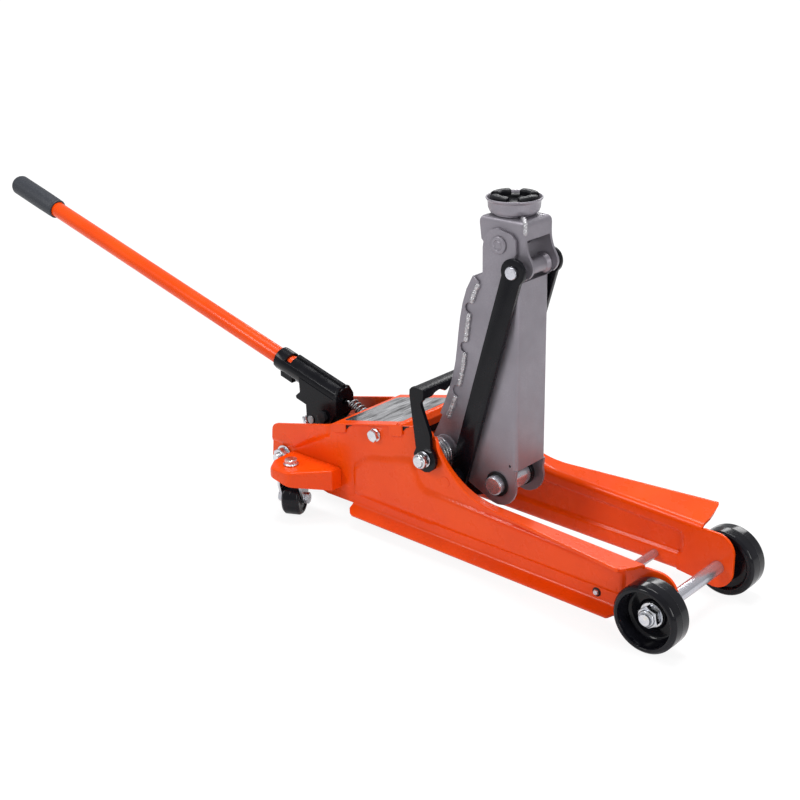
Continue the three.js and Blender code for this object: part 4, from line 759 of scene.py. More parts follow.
def bend_of(a, b, c, count=8):
    a, b, c = Vector(a), Vector(b), Vector(c)
    return [tuple(a * (1 - t) ** 2 + b * 2 * t * (1 - t) + c * t * t)
            for t in (k / count for k in range(count + 1))]


def between(line, x):
    for (xa, za), (xb, zb) in zip(line, line[1:]):
        if xa <= x <= xb:
            return za + (zb - za) * ((x - xa) / max(xb - xa, 1e-9))
    return line[-1][1] if x > line[-1][0] else line[0][1]


print("the flange's bend takes", round(BEND_SET, 2), "mm")

# %% Both lines, point by point
arc = [CURVE_TURN + (TILT - CURVE_TURN) * k / 56 for k in range(57)]
rolled = [(CURVE_AT[0] - (CURVE_R + BEND_SET) * math.sin(a),
           CURVE_AT[1] - (CURVE_R + BEND_SET) * math.cos(a), a) for a in arc]
FLANGE_END = RUN_FRONT - BEND_SET * math.sin(TILT)
NOSE_X, NOSE_R = -4, 20
nose = [math.pi / 2 * k / 10 for k in range(1, 11)]
upper = (
    [(-508.0, 79.0)] + bend_of((-508, 79), (-507, top_edge(-507)), (-500, 88))[1:]
    + bend_of((-302, top_edge(-302)), (-284, top_edge(-284) + 1), (-274, top_edge(-302)))
    + [(x, z) for x, z, a in rolled]
    + [(FLANGE_END, run_z(RUN_FRONT) - BEND_SET * math.cos(TILT)), (-19.9, 68.5), (-4.0, 68.5)]
    + [(NOSE_X + NOSE_R * math.sin(t), 48.5 + NOSE_R * math.cos(t)) for t in nose]
)
lower = (
    [(-511.0, 47.5)] + bend_of((-511, 47.5), (-511, 39.5), (-503, 38.5))[1:]
    + [(-425.0, 23.5), (-386.2, 23.5), (-385.9, 27.5), (-45.1, 22.0), (-44.8, 16.0), (-4.0, 11.0)]
    + [(NOSE_X + NOSE_R * math.sin(t), 31 - NOSE_R * math.cos(t)) for t in nose]
)
print(len(upper), "points above,", len(lower), "points below")

# %% [markdown]
# The pressed fields have a flat crest and flanks that slope away from it. For any point of the
# wall it is enough to know how far outside the crest's outline it lies: inside it stands out
# by the full depth, and within a few millimetres of the outline it slopes back to the wall.


# %% The pressed fields
def outside(x, z, outline):
    inside, nearest = False, 1e9
    for (xa, za), (xb, zb) in zip(outline, outline[1:] + outline[:1]):
        dx, dz = xb - xa, zb - za
        t = max(0.0, min(1.0, ((x - xa) * dx + (z - za) * dz) / (dx * dx + dz * dz)))
        nearest = min(nearest, math.hypot(x - xa - t * dx, z - za - t * dz))
        if (za > z) != (zb > z) and x < xa + (z - za) * dx / dz:
            inside = not inside
    return 0.0 if inside else nearest


panel = eased([(-380, 39.5, 2), (-380, 66.5, 9), (-361, 81, 11), (-302, 95, 4),
               (-290, 67, 20), (-43, 55.5, 4), (-43, 35.5, 3)], 3, True, 5)
rear_field = eased([(-530, 68), (-475, 68, 10), (-421, 97, 3), (-423, 130), (-530, 130)],
                   0, True, 5)


def pressed(x, z):
    out = 0.0
    for outline, depth in ((panel, 3.0), (rear_field, 2.0)):
        share = max(0.0, 1 - outside(x, z, outline) / (depth * 1.25))
        out = max(out, depth * share * share * (3 - 2 * share))
    return out


print("crest corners:", len(panel), len(rear_field))

# %% [markdown]
# Columns stand closer together where the flange curves. The points of a column are found in
# order: skirt edge, skirt bend, wall, flange bend, flange edge. The flange grows wider towards
# the front, and its front corner is rounded by sliding its points on to a circle.

# %% The sheet's columns
stations = sorted(
    {x for x, z in upper + lower} | {x for x, z, a in rolled}
    | {-510.9 + 2.0 * k for k in range(118)} | {-200 + 2.0 * k for k in range(108)}
    | {15.2, 15.9}
)
stations = [x for i, x in enumerate(stations) if i == 0 or x - stations[i - 1] > 0.12]
WALL_ROWS, BEND_ROWS, EDGE_ROWS = 30, 8, 10
WAIST_X, WAIST_WIDTH, FRONT_WIDTH, BACK_WIDTH = -200, 14.7, 39, 4
SKIRT_BACK, SKIRT_FRONT = -386, -45


def flange_width(x):
    if x > WAIST_X:
        return WAIST_WIDTH + (x - WAIST_X) / 180 * (FRONT_WIDTH - WAIST_WIDTH)
    return BACK_WIDTH + (x + 267) / 67 * (WAIST_WIDTH - BACK_WIDTH)


def round_corner(x, y):
    slant = -18 - (y - 50) / 42 * 5
    x = min(x, slant) if y > 53.5 else x
    cx, cy, radius = -30.0, 85.0, 7
    far = math.hypot(x - cx, y - cy)
    if x > cx and y > cy and far > radius:
        return cx + (x - cx) * radius / far, cy + (y - cy) * radius / far
    return x, y


# %% Flange and skirt of one column
def flange_points(x, z, lean):
    share = max(0.0, min(1.0, (x + 272.4) / 9)) if x < -262 else 1.0
    sweep = FLANGE_SWEEP * share * (2 - share)
    nx, nz = math.sin(lean), math.cos(lean)
    points = []
    for k in range(1, BEND_ROWS + 1):
        a = sweep * k / BEND_ROWS
        points.append((BEND * math.sin(a), BEND * (1 - math.cos(a))))
    up, out = points[-1]
    edge = max(3 + flange_width(x + BEND_SET * nx) - out, 0.5) * (0.35 + 0.65 * share)
    for k in range(1, EDGE_ROWS + 1):
        reach = edge * k / EDGE_ROWS
        points.append((up + reach * math.cos(sweep), out + reach * math.sin(sweep)))
    placed = []
    for up, out in points:
        px, py = round_corner(x + up * nx, 50 + out)
        placed.append((px, py, z + up * nz))
    return placed


def skirt_points(x, z):
    points = []
    for k in range(BEND_ROWS, 0, -1):
        a = math.radians(60) * k / BEND_ROWS
        points.append((x, 59 - 9 * math.cos(a), z - 9 * math.sin(a)))
    _, y, low = points[0]
    edge = 10 - max(0, 6 - min(x - SKIRT_BACK, SKIRT_FRONT - x))
    fall = math.tan(math.radians(30))
    return [(x, y + edge * k / 4, low - edge * k / 4 * fall) for k in range(4, 0, -1)] + points


# %% Lay the columns
points, rows = [], []
for x in stations:
    shift = 3.0 * max(0.0, (-500 - x) / 11)
    foot, head = between(lower, x), between(upper, x + shift)
    column = {}
    if SKIRT_BACK + 0.05 <= x <= SKIRT_FRONT - 0.05:
        column["skirt"] = skirt_points(x, foot)
    wall = []
    for k in range(WALL_ROWS + 1):
        t = k / WALL_ROWS
        wx, wz = x + shift * t, foot + (head - foot) * t
        wall.append((wx, PLATE_IN + pressed(wx, wz), wz))
    column["wall"] = wall
    if rolled[0][0] - 0.05 <= x <= FLANGE_END + 0.05:
        reach = (CURVE_AT[0] - x) / (CURVE_R + BEND_SET)
        lean = math.asin(min(1.0, reach)) if x < rolled[-1][0] else TILT
        column["flange"] = flange_points(x, head, lean)
    index = {}
    for part, line in column.items():
        index[part] = list(range(len(points), len(points) + len(line)))
        points.extend(line)
    rows.append(index)
print(len(stations), "columns,", len(points), "points")

# %% Faces of the sheet and its thickness
faces = []
for a, b in zip(rows, rows[1:]):
    strips = [(a["wall"], b["wall"])]
    if "flange" in a and "flange" in b:
        strips.append((a["wall"][-1:] + a["flange"], b["wall"][-1:] + b["flange"]))
    if "skirt" in a and "skirt" in b:
        strips.append((a["skirt"] + a["wall"][:1], b["skirt"] + b["wall"][:1]))
    for one, two in strips:
        for k in range(len(one) - 1):
            faces.append((one[k], two[k], two[k + 1], one[k + 1]))
plate = new_piece("side_plate", [at(*p) for p in points], faces, orange, 55, outward=False)
facing = sum(f.normal.y for f in plate.data.polygons)
if facing > 0:
    plate.data.flip_normals()
thick = plate.modifiers.new("sheet_thickness", "SOLIDIFY")
thick.thickness = SHEET * MM
thick.offset = -1
rim = plate.modifiers.new("eased_rim", "BEVEL")
rim.width = 0.7 * MM
rim.segments = 2
rim.limit_method = "ANGLE"
rim.angle_limit = math.radians(62)
mount_pair(plate, "frame", "orange_paint", "side_plate", "side_plate_sheet")
print("side plates:", len(faces), "faces each before the thickness")

# %% [markdown]
# ## Front axle and wheels
# The front wheels are one moulding each, with a deep dish, a hub standing in it and a faint
# line round the tread where the two halves of the mould met. A lathe profile gives all of it.

# %% Front wheels
AXLE = (0, WHEEL_Z)
wheel_profile = [
    (6.3, 53.6), (10, 53.6), (10, 60.8, 1.5), (25, 60.8, 1), (27, 57.8, 1), (31.5, 57.8, 1.5),
    (33.5, 59.8, 1.5), (33.5, 70.5), (33.62, 70.75, 0), (33.62, 71.15, 0), (33.5, 71.4),
    (33.5, 80.9, 2.4), (30.6, 84.1, 2.2), (27.6, 84.1, 1.2), (26.3, 68, 3.2), (23.8, 65.8, 2.5),
    (14.6, 65.8, 1.6), (12.6, 68, 0.8), (6.3, 68),
]
wheel = turned("front_wheel", wheel_profile, on(AXLE), ALONG_Y, nylon, 128, 0.4)
mount_pair(wheel, "front_wheel", "black_nylon", "front_wheel", "front_wheel_moulding", True)
print("front wheel:", len(wheel.data.polygons), "faces")

# %% [markdown]
# The axle is a plain bar with a thread rolled on each end. The tie rod below it is thinner. Where
# it passes through each plate a thin black ring is painted shade, the dark gap round the rod.

# %% Front axle and tie rod
bar = turned("axle_bar", both_ends([(0, 68.4), (5.9, 68.4), (5.9, 49.8), (6.7, 49.8)]), on(AXLE),
             ALONG_Y, drawn_bar, 64)
ends = [thread("axle_thread", 6, on(AXLE, side * 68.2), 13.6, ALONG_Y * side, zinc, 1.75)
        for side in (1, -1)]
mount(joined("front_axle_bar", [bar, *ends]), "frame", "zinc", "front_axle")
TIE_ROD = (-70, 25.5)
tie = turned("tie_rod", [(0, -56), (2.2, -56), (3, -55), (3, -53.2), (3, -49.8), (4.5, -49.8),
                         (4.5, 49.8), (3, 49.8), (3, 55), (2.2, 56), (0, 56)],
             on(TIE_ROD), ALONG_Y, drawn_bar, 40)
mount(tie, "frame", "zinc", "front_tie_rod")
# painted shade: a thin black ring round the rod on each plate's face
hole_shade_ring = turned("tie_rod_painted_hole_shade", tube(3.1, 4.7, 53.02, 53.3), on(TIE_ROD), ALONG_Y, cast_black,
                40)
mount_pair(hole_shade_ring, "frame", "black_paint", None, "tie_rod_painted_hole_shade")
print("axle and tie rod")

# %% [markdown]
# A locking nut is three things on one axis: a washer, a hexagon with arched corners and a
# round collar that holds a ring of pale nylon. The stud's end stands out of the middle.


# %% Locking nuts
def locking_nut(name, pin, seat, across, stud, height, washer, turn):
    origin = on(pin)
    collar = max(across * 0.44, stud + 2)
    top = seat + height
    crown = [(collar - 1.6, top - 1.2), (collar, top - 1), (collar, top + 1.4, 1),
             (collar - 1.1, top + 2.5, 0.7), (collar - 1.6, top + 2.4)]
    return joined(name, [
        turned(name + "_washer", tube(stud + 0.2, washer, seat, seat + 1.6), origin, ALONG_Y,
               zinc, 64),
        hexagon(name + "_hexagon", across, on(pin, seat + 1.7), height - 1.7, ALONG_Y, zinc,
                stud + 0.1, True, turn),
        turned(name + "_collar", crown, origin, ALONG_Y, zinc, 64),
        turned(name + "_ring", tube(stud - 0.3, collar - 1.5, top - 1, top + 1.9), origin,
               ALONG_Y, white_nylon, 48, 0.3),
    ])


mount_pair(locking_nut("axle_nut", AXLE, 68.3, 19, 6, 9, 12, 0.35), "frame", "zinc",
           "axle_nut", "axle_locking_nut")
mount_pair(locking_nut("pivot_nut", MAIN_PIVOT, 59.9, 15, 6, 7, 8.5, 0.15), "frame", "zinc",
           "main_pivot_nut", "pivot_locking_nut")
print("four locking nuts")

# %% [markdown]
# ## Casters
# Each rear caster hangs from a pressed bracket. Its fork turns on a king bolt under a thrust
# race and its wheel trails behind. The bracket is soft-edged pressed sheet, and the fork is
# bent strip. Both have their right shape in the drawing.

# %% Brackets, king bolts and forks
for side in ("left", "right"):
    mount_drawn("caster_bracket_" + side, "caster_bracket_sheet_" + side, orange, "frame",
                "orange_paint", 1.4, 35, 3)
    mount_drawn("caster_fork_" + side, "caster_fork_strip_" + side, zinc, "caster_" + side,
                "zinc", 0.5)

KING = (-450, 83)
king_at = at(*KING, 0)
king = joined("king_bolt", [
    turned("king_washer", rod(8.5, 61.8, 63.3), king_at, ALONG_Z, zinc, 64),
    hexagon("king_head", 13, at(*KING, 63.2), 5.1, ALONG_Z, zinc, 0, False, 0.4),
    turned("king_shank", rod(5, 50, 62), king_at, ALONG_Z, zinc, 40),
    hexagon("king_nut", 15, at(*KING, 46.4), 4.8, ALONG_Z, zinc, 0, True, 0.2),
])
mount_pair(king, "frame", "zinc", "king_bolt", "king_bolt_set")
race = turned("thrust_race", [
    (5.4, 54.1), (12.9, 54.1), (13.1, 55.7), (12.6, 56), (12.6, 56.3), (13.1, 56.6),
    (13.1, 58), (5.4, 58),
], king_at, ALONG_Z, zinc, 64, 0.25)
mount_pair(race, "caster", "zinc", None, "thrust_race", True)
print("casters' sheet parts")

# %% [markdown]
# A caster's wheel and axle lie across its fork, which was parked at an angle. That angle is
# given here: the axle's direction is worked out once and the wheel, the bolt's head and its nut
# are all turned on that line.

# %% Caster wheels and their axles
PARKED = math.radians(63)
ACROSS = Vector((-math.sin(PARKED), math.cos(PARKED), 0))
ONWARD = Vector((math.cos(PARKED), math.sin(PARKED), 0))
CASTER_R, TRAIL = 19.5, 7
hub_at = at(*KING, CASTER_R) - ONWARD * (TRAIL * MM)
caster = turned("caster_wheel", both_ends([
    (3.8, 10), (7.4, 10), (8.6, 8.4, 0.8), (13.8, 8.4, 0.8), (15, 10, 0.6), (17.6, 10, 1),
    (CASTER_R, 7.6, 1.5), (CASTER_R, 0.3), (CASTER_R + 0.08, 0.1, 0),
]), hub_at, ACROSS, nylon, 96, 0.4)
mount_pair(caster, "caster_wheel", "black_nylon", "caster_wheel", "caster_wheel_moulding", True)
pin = joined("caster_axle", [
    turned("caster_pin", rod(3.5, -15.6, 15.6), hub_at, ACROSS, zinc, 32),
    hexagon("caster_pin_head", 11, hub_at - ACROSS * (13.4 * MM), 4, -ACROSS, zinc, 0, False),
    hexagon("caster_pin_nut", 11, hub_at + ACROSS * (13.4 * MM), 4.5, ACROSS, zinc, 0, True, 0.3),
    thread("caster_pin_thread", 3.4, hub_at + ACROSS * (15 * MM), 3.5, ACROSS, zinc, 1.0, 0.4),
])
mount_pair(pin, "caster", "zinc", "caster_axle", "caster_axle_bolt", True)
print("caster wheel centre:", [round(a, 4) for a in hub_at])

# %% [markdown]
# ## Main pivot
# One shaft carries the arm. Between the plates it runs in the arm's sleeve, with a ridged
# spacer on each side. Outside them its threaded ends hold the carrying handle. The spacers'
# ridges are part of the same lathe profile.

# %% Shaft, sleeve and spacers
shaft = turned("shaft_bar", both_ends([(0, 60.5), (5.9, 60.5), (5.9, 49.8), (8.5, 49.8)]),
               on(MAIN_PIVOT), ALONG_Y, zinc, 64)
tips = [thread("shaft_thread", 6, on(MAIN_PIVOT, side * 60.3), 10.3, ALONG_Y * side, zinc, 1.75)
        for side in (1, -1)]
mount(joined("pivot_shaft_bar", [shaft, *tips]), "frame", "zinc", "main_pivot_shaft")
ridges = [(8.8, 33), (15.7, 33)]
for k in range(4):
    ridges += [(15.9, 33.4 + 4.1 * k, 0.5), (15.9, 35.6 + 4.1 * k, 0.5)]
    if k < 3:
        ridges += [(14.3, 36.1 + 4.1 * k, 0.3), (14.3, 37 + 4.1 * k, 0.3)]
ridges += [(15.7, 49.7), (8.8, 49.7)]
mount_pair(turned("spacer", ridges, on(MAIN_PIVOT), ALONG_Y, zinc, 96, 0.3), "frame", "zinc",
           "pivot_spacer", "ridged_spacer")
mount(turned("pivot_sleeve_tube", tube(8.8, 14, -26.6, 26.6), on(MAIN_PIVOT), ALONG_Y, silver,
             96), "arm", "silver_paint", "arm_pivot_sleeve")
pin_inside = turned("link_pin_inside", [
    (0, 25.2), (9.4, 25.2, 0.6), (10, 25.8), (10, 26.9), (6, 26.9), (6, 32.5), (9, 32.5),
    (9, 49.7), (0, 49.7),
], on(LINK_LOW), ALONG_Y, satin_black, 64, 0.3)
pin_end = turned("link_pin_end", [(0, 49), (6, 49), (6, 53.2), (5.4, 53.5), (0, 53.5)],
                 on(LINK_LOW), ALONG_Y, orange, 64, 0.3)
mount_pair(joined("link_pin", [pin_inside, pin_end]), "frame", "zinc", "link_pin",
           "lower_link_pin")
print("main pivot done")

# %% [markdown]
# ## Lifting arm
# The arm is folded from one sheet: two sides and a front web with a proper bend radius between
# them. A scalloped back plate laps over the sides and is welded at the tabs. Both keep their
# drawn shape with softened edges, and the welds are grown along the tabs.

# %% Arm and back plate
mount_drawn("lift_arm", "lift_arm_sheet", silver, "arm", "silver_paint", 0.7, 30)
mount_drawn("arm_back_plate", "arm_back_sheet", silver, "arm", "silver_paint", 0.5, 40)


def cubic(a, b, c, d, t):
    a, b, c, d = map(Vector, (a, b, c, d))
    s = 1 - t
    return a * s ** 3 + b * 3 * s * s * t + c * 3 * s * t * t + d * t ** 3


px, pz = MAIN_PIVOT
rear_line = [cubic((px - 17.9, pz + 8.9), (px - 4, pz + 38), (px + 12, pz + 70),
                   (px + 17, pz + 103), k / 40) for k in range(41)]
rear_line += [cubic((px + 17, pz + 103), (px + 21, pz + 133), (px + 22, pz + 168),
                    (ARM_HEAD[0] - 28, ARM_HEAD[1] - 36), k / 40) for k in range(1, 41)]
lengths = [0.0]
for a, b in zip(rear_line, rear_line[1:]):
    lengths.append(lengths[-1] + (b - a).length)


def along_rear(share, out):
    want = share * lengths[-1]
    k = max(i for i, value in enumerate(lengths) if value <= want + 1e-6)
    k = min(k, len(rear_line) - 2)
    step = rear_line[k + 1] - rear_line[k]
    point = rear_line[k] + step * ((want - lengths[k]) / step.length)
    side = Vector((-step.y, step.x)).normalized()
    return point + side * out


print("arm's rear edge is", round(lengths[-1]), "mm long")

# %% Welds on the arm
EDGE_PARTS = 12
tab_ends = [(2.2, 3.7), (4.7, 6.7), (7.7, 9.4), (10.4, 11.7)]
beads = []
# the tab beads take the lighter silver, whose colour is painted highlight
for number, (low, high) in enumerate(tab_ends):
    for side in (1, -1):
        line = [along_rear((low + (high - low) * k / 14) / EDGE_PARTS, -7.4) for k in range(15)]
        beads.append(weld(f"tab_weld_{number}", [on(p, side * 25.4) for p in line],
                          silver_with_painted_highlight, 2.7, 1.4, 5 + number))
mount(joined("arm_tab_welds", beads), "arm", "silver_paint")
for side, name in ((1, "sleeve_weld_left"), (-1, "sleeve_weld_right")):
    ring = [at(px + 14.6 * math.cos(a), side * 25.2, pz + 14.6 * math.sin(a))
            for a in (math.radians(-100 + 8 * k) for k in range(41))]
    mount(weld(name, ring, silver, 1.3, 1.2, 9), "arm", "silver_paint")

# %% [markdown]
# The crank pin's ends stand proud of the arm's ears, each held by a dark spring clip. The pin
# at the arm's head is a painted rivet with a shallow ring struck in its face.

# %% Crank pin and saddle pivot pin
crank = turned("crank_bar", both_ends([
    (0, 33), (8.6, 33, 0.8), (10, 31.6, 0.6), (10, 13.7), (13, 13.7),
]), on(CRANK), ALONG_Y, drawn_bar, 96)
clips = [turned("crank_clip", tube(9.9, 13.3, side * 24.95, side * 26.3), on(CRANK), ALONG_Y,
                cast_black, 64) for side in (1, -1)]
mount(joined("crank_pin_bar", [crank, *clips]), "arm", "dark_steel", "crank_pin")
rivet = turned("saddle_rivet", both_ends([
    (0, 26.3), (3.2, 26.3, 0.4), (3.8, 25.9, 0.3), (4.6, 25.9, 0.3), (5.2, 26.8, 0.5),
    (7.6, 26.8, 0.6), (8.8, 26, 0.6), (8.8, 24.9), (7, 24.9),
]), on(ARM_HEAD), ALONG_Y, silver, 96, 0.3)
mount(rivet, "arm", "silver_paint", "saddle_pivot_pin")
print("pins of the arm")

# %% [markdown]
# ## Levelling links
# Two flat bars keep the saddle level. They are sheared with round ends and dipped in satin
# black. Their upper pin runs through a flared tube between the yoke's cheeks.

# %% Links and the upper pin
link = sheared("levelling_link", [
    bar_loop(LINK_LOW, LINK_HIGH, 11, 11.4, 13.4), circle_loop(LINK_LOW, 6.2),
    circle_loop(LINK_HIGH, 6.2),
], 27.2, 32.2, satin_black, 0.6)
mount_pair(link, "levelling_links", "black_paint", "levelling_link", "levelling_bar")
mount(turned("upper_link_rod", both_ends([
    (0, 35.5), (5.7, 35.5, 0.6), (6.4, 34.8, 0.4), (6.4, 32.5), (6, 32.5),
]), on(LINK_HIGH), ALONG_Y, drawn_bar, 64), "yoke", "zinc", "upper_link_pin")
mount(turned("yoke_tube", both_ends([(6.3, 17.9), (10.4, 17.9), (10.4, 16.6, 1), (8, 12.6, 3)]),
             on(LINK_HIGH), ALONG_Y, silver, 96), "yoke", "silver_paint", "yoke_spacer")
pull = sheared("connecting_link", [
    bar_loop(RAM_PIN, CRANK, 9.5, 11.4, 14.4), circle_loop(RAM_PIN, 6.2), circle_loop(CRANK, 10.2),
], 14, 19, satin_black, 0.6)
mount_pair(pull, "connecting_links", "black_paint", "connecting_link", "connecting_bar")
print("links:", len(link.data.polygons), "faces")

# %% [markdown]
# ## Saddle
# The yoke is folded sheet. On it turns a dished cup with a rolled rim, and in the cup sits a
# rubber pad whose crown is cut into lugs. The lugs repeat round a circle, so one lug is shaped
# and a node tree sets it on every point of that circle.

# %% Yoke and cup
mount_drawn("saddle_yoke", "saddle_yoke_sheet", silver, "yoke", "silver_paint", 0.8, 30)
saddle_at = at(SADDLE_X, 0, 0)
cup = turned("saddle_cup_steel", [
    (0, 351.8), (7, 351.8), (7, 353.3), (9, 353.3), (9, 357.2), (7, 357.2), (7, 360.8),
    (20.4, 360.8, 0.5), (20.6, 361.9, 0.4), (23.6, 363.2, 1.8), (25.2, 367.2, 3), (25.6, 373.2, 1.8),
    (27.3, 375.4, 0.8),
    (27.6, 376.4, 0.4), (27.2, 377, 0.4), (26.3, 376.9, 0.5), (24.6, 373.4, 1.5), (22.5, 366, 1.5),
    (21, 364.8, 0.8), (0, 364.8),
], saddle_at, ALONG_Z, silver, 128, 0.4)
mount(cup, "saddle", "silver_paint", "saddle_cup")
route = [(20.6, 14.2, 361), (24.5, 17.2, 361), (27.6, 19.9, 360), (28.9, 21.1, 356.5),
         (29, 21.3, 352), (29, 21.3, 348)]
route = [Vector(a).lerp(Vector(b), k / 4) for a, b in zip(route, route[1:]) for k in range(4)]
# this bead takes the lighter silver, whose colour is painted highlight
mount(weld("yoke_corner_weld", [at(SADDLE_X + x, -y, z) for x, y, z in route], silver_with_painted_highlight,
           2.1, 1.2, 7), "yoke", "silver_paint")
print("cup:", len(cup.data.polygons), "faces")

# %% Lug tree
lug_tree, source, sink = node_tree("lugs_round_a_circle", [
    ("Count", "Int", 8), ("Radius", "Float", 0.018), ("Turn", "Float", 0.0),
])
circle = add_node(lug_tree, "GeometryNodeMeshCircle")
stand = add_node(lug_tree, "GeometryNodeInstanceOnPoints")
index = add_node(lug_tree, "GeometryNodeInputIndex")
share = add_node(lug_tree, "ShaderNodeMath", operation="DIVIDE")
full = add_node(lug_tree, "ShaderNodeMath", {1: 2 * math.pi}, operation="MULTIPLY_ADD")
heading = add_node(lug_tree, "ShaderNodeCombineXYZ")
wire(lug_tree, (source, "Count", circle, "Vertices"), (source, "Radius", circle, "Radius"),
     (index, "Index", share, 0), (source, "Count", share, 1), (share, 0, full, 0),
     (source, "Turn", full, 2), (full, 0, heading, "Z"), (circle, "Mesh", stand, "Points"),
     (source, "Geometry", stand, "Instance"), (heading, "Vector", stand, "Rotation"))
finish_tree(lug_tree, stand, "Instances", source, sink)
print("lug tree has", len(lug_tree.nodes), "nodes")

# %% Rubber pad
pad_body = turned("pad_body", [
    (0, 365.1), (20.6, 365.1, 0.8), (22.1, 367, 0.8), (23.7, 373.6, 1), (23.9, 374.6, 0.4),
    (23.4, 375.1, 0.4), (15.2, 375.1, 0.6), (14.6, 374, 0.6), (14.4, 371.5, 0.6), (0, 371.5),
], saddle_at, ALONG_Z, rubber, 96, 0.4)
half_turn = math.pi / 4 * 0.66
section = eased([(14.8, -1.0), (23.95, -1.0), (23.95, 4, 1.2), (22.4, 5, 1.2), (16.4, 5, 1.2),
                 (15, 3.8, 1.2)], 0.3, True)
LUG_AT = 18
lug_rings = []
for k in range(17):
    a = half_turn * (k / 8 - 1)
    pinch = 0.88 if k in (0, 16) else 1
    lug_rings.append([((r * math.cos(a) - LUG_AT) * MM, r * math.sin(a) * MM, h * pinch * MM)
                      for r, h in section])
lug = skin("pad_lug", lug_rings, rubber, False, 50)
LUGS = 4
crown = Matrix.Translation(at(SADDLE_X, 0, 375)) @ Matrix.Rotation(-math.radians(12), 4, "Z")
lugs = grown("pad_lugs", lug_tree, rubber, lug, crown, Count=LUGS, Radius=LUG_AT * MM, Turn=0.0)
mount(joined("saddle_pad_rubber", [pad_body, lugs]), "saddle", "rubber", "saddle_pad")
print("pad with", LUGS, "lugs")

# %% [markdown]
# ## Hydraulic unit
# Most of the pump hides between the plates, but it can be seen from above and behind. The
# castings keep their drawn shape with rounded edges and a cast grain. The cylinder, the ram and
# the plunger are turned.

# %% Castings, cylinder and ram
mount_drawn("head_block", "head_block_casting", cast_black, "frame", "dark_steel", 0.9)
mount_drawn("pump_block", "pump_block_casting", cast_black, "frame", "dark_steel", 1.0)
RAM_AXIS = at(0, 0, 58)
mount(turned("cylinder_tube", [(20, -439.7), (27, -439.7, 1), (27, -378, 1), (20, -378)],
             RAM_AXIS, ALONG_X, satin_black, 96), "frame", "black_paint", "hydraulic_cylinder")
ram_rod = turned("ram_rod", [(0, -384.4), (19.6, -384.4), (19.6, -378.4), (12, -378.4),
                             (12, -281), (0, -281)], RAM_AXIS, ALONG_X, steel, 96)
eye = turned("ram_eye", both_ends([(0, 13.4), (6, 13.4), (6, 12.4), (11.5, 12.4, 0.8)]),
             on(RAM_PIN), ALONG_Y, steel, 64)
mount(joined("ram_steel", [ram_rod, eye]), "ram", "dark_steel", "ram")
print("hydraulic unit")

# %% Bolts through the plates
HEAD_BOLT, REAR_STUD = (-351, 113), (-490.5, 52.5)
head_bolt = joined("head_bolt", [
    turned("head_bolt_washer", tube(4.2, 7.2, 53.3, 54.6), on(HEAD_BOLT), ALONG_Y, zinc, 64, 0.3),
    hexagon("head_bolt_head", 12, on(HEAD_BOLT, 54.5), 5, ALONG_Y, zinc, 0, False, 0.25),
    turned("head_bolt_shank", rod(4, 38, 55), on(HEAD_BOLT), ALONG_Y, zinc, 32),
])
mount_pair(head_bolt, "frame", "zinc", "head_bolt", "head_bolt_set")
rear_stud = joined("rear_stud", [
    turned("rear_stud_washer", tube(5.2, 11, 53.3, 55.2), on(REAR_STUD), ALONG_Y, zinc, 64, 0.3),
    hexagon("rear_stud_nut", 17, on(REAR_STUD, 55.1), 7.9, ALONG_Y, zinc, 4.9, True, 0.5),
    turned("rear_stud_shank", rod(4.6, 30, 60), on(REAR_STUD), ALONG_Y, zinc, 32),
    thread("rear_stud_thread", 5, on(REAR_STUD, 58), 10.5, ALONG_Y, zinc, 1.5, 0.5),
])
mount_pair(rear_stud, "frame", "zinc", "rear_stud", "rear_stud_set")
print("bolts through the plates")

# %% [markdown]
# The pump's plunger is pushed down by a roller under the socket and comes back on a spring.
# Springs change length when the handle moves.

# %% Plunger and its spring
mount(turned("plunger_rod", [(0, 36), (5, 36), (5, 73.7), (8, 73.7), (8, 75.9, 0.5),
                             (7.2, 76.7, 0.5), (0, 76.7)], at(-486, 0, 0), ALONG_Z, steel, 64),
      "plunger", "dark_steel", "pump_plunger")
low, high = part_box("pump_spring")
pump_spring = grown("pump_coil", spring_tree, dull_steel, Turns=3.5, Radius=7.0 * MM,
                    Height=high.z - low.z - 2.2 * MM, Wire=1.1 * MM, Resolution=26,
                    move=Matrix.Translation(Vector(((low.x + high.x) / 2, 0, low.z + 1.1 * MM))))
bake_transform(pump_spring)
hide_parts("pump_spring")
print("plunger's spring:", len(pump_spring.data.polygons), "faces")


# %% Return spring
def aimed(start, end):
    way = end - start
    return Matrix.Translation(start) @ way.to_track_quat("Z", "Y").to_matrix().to_4x4()


spring_high, spring_low = at(-436, 0, 113), at(-392, 0, 94)
fall = (spring_low - spring_high).normalized()
COIL_R, COIL_WIRE = 5.0, 1.2
coil = grown("return_coil", spring_tree, dull_steel, Turns=9.0, Radius=COIL_R * MM,
             Height=(spring_low - spring_high).length, Wire=COIL_WIRE * MM, Resolution=26,
             move=aimed(spring_high, spring_low))
drop_to = Vector((fall.z, 0, -fall.x)) * (COIL_R * MM)


def wire_run(name, path, radius, finish):
    rings = [[path[0]]]
    for i, point in enumerate(path):
        way = (path[min(i + 1, len(path) - 1)] - path[max(i - 1, 0)]).normalized()
        side = way.cross(ALONG_Y).normalized()
        rings.append([point + spoke(side, ALONG_Y, a) * (radius * MM) for a in angles(16)])
    rings.append([path[-1]])
    return skin(name, rings, finish, False, 60)


def hooked(start, knee, end):
    return [Vector(p) for p in bend_of(start, knee, end, 14)]


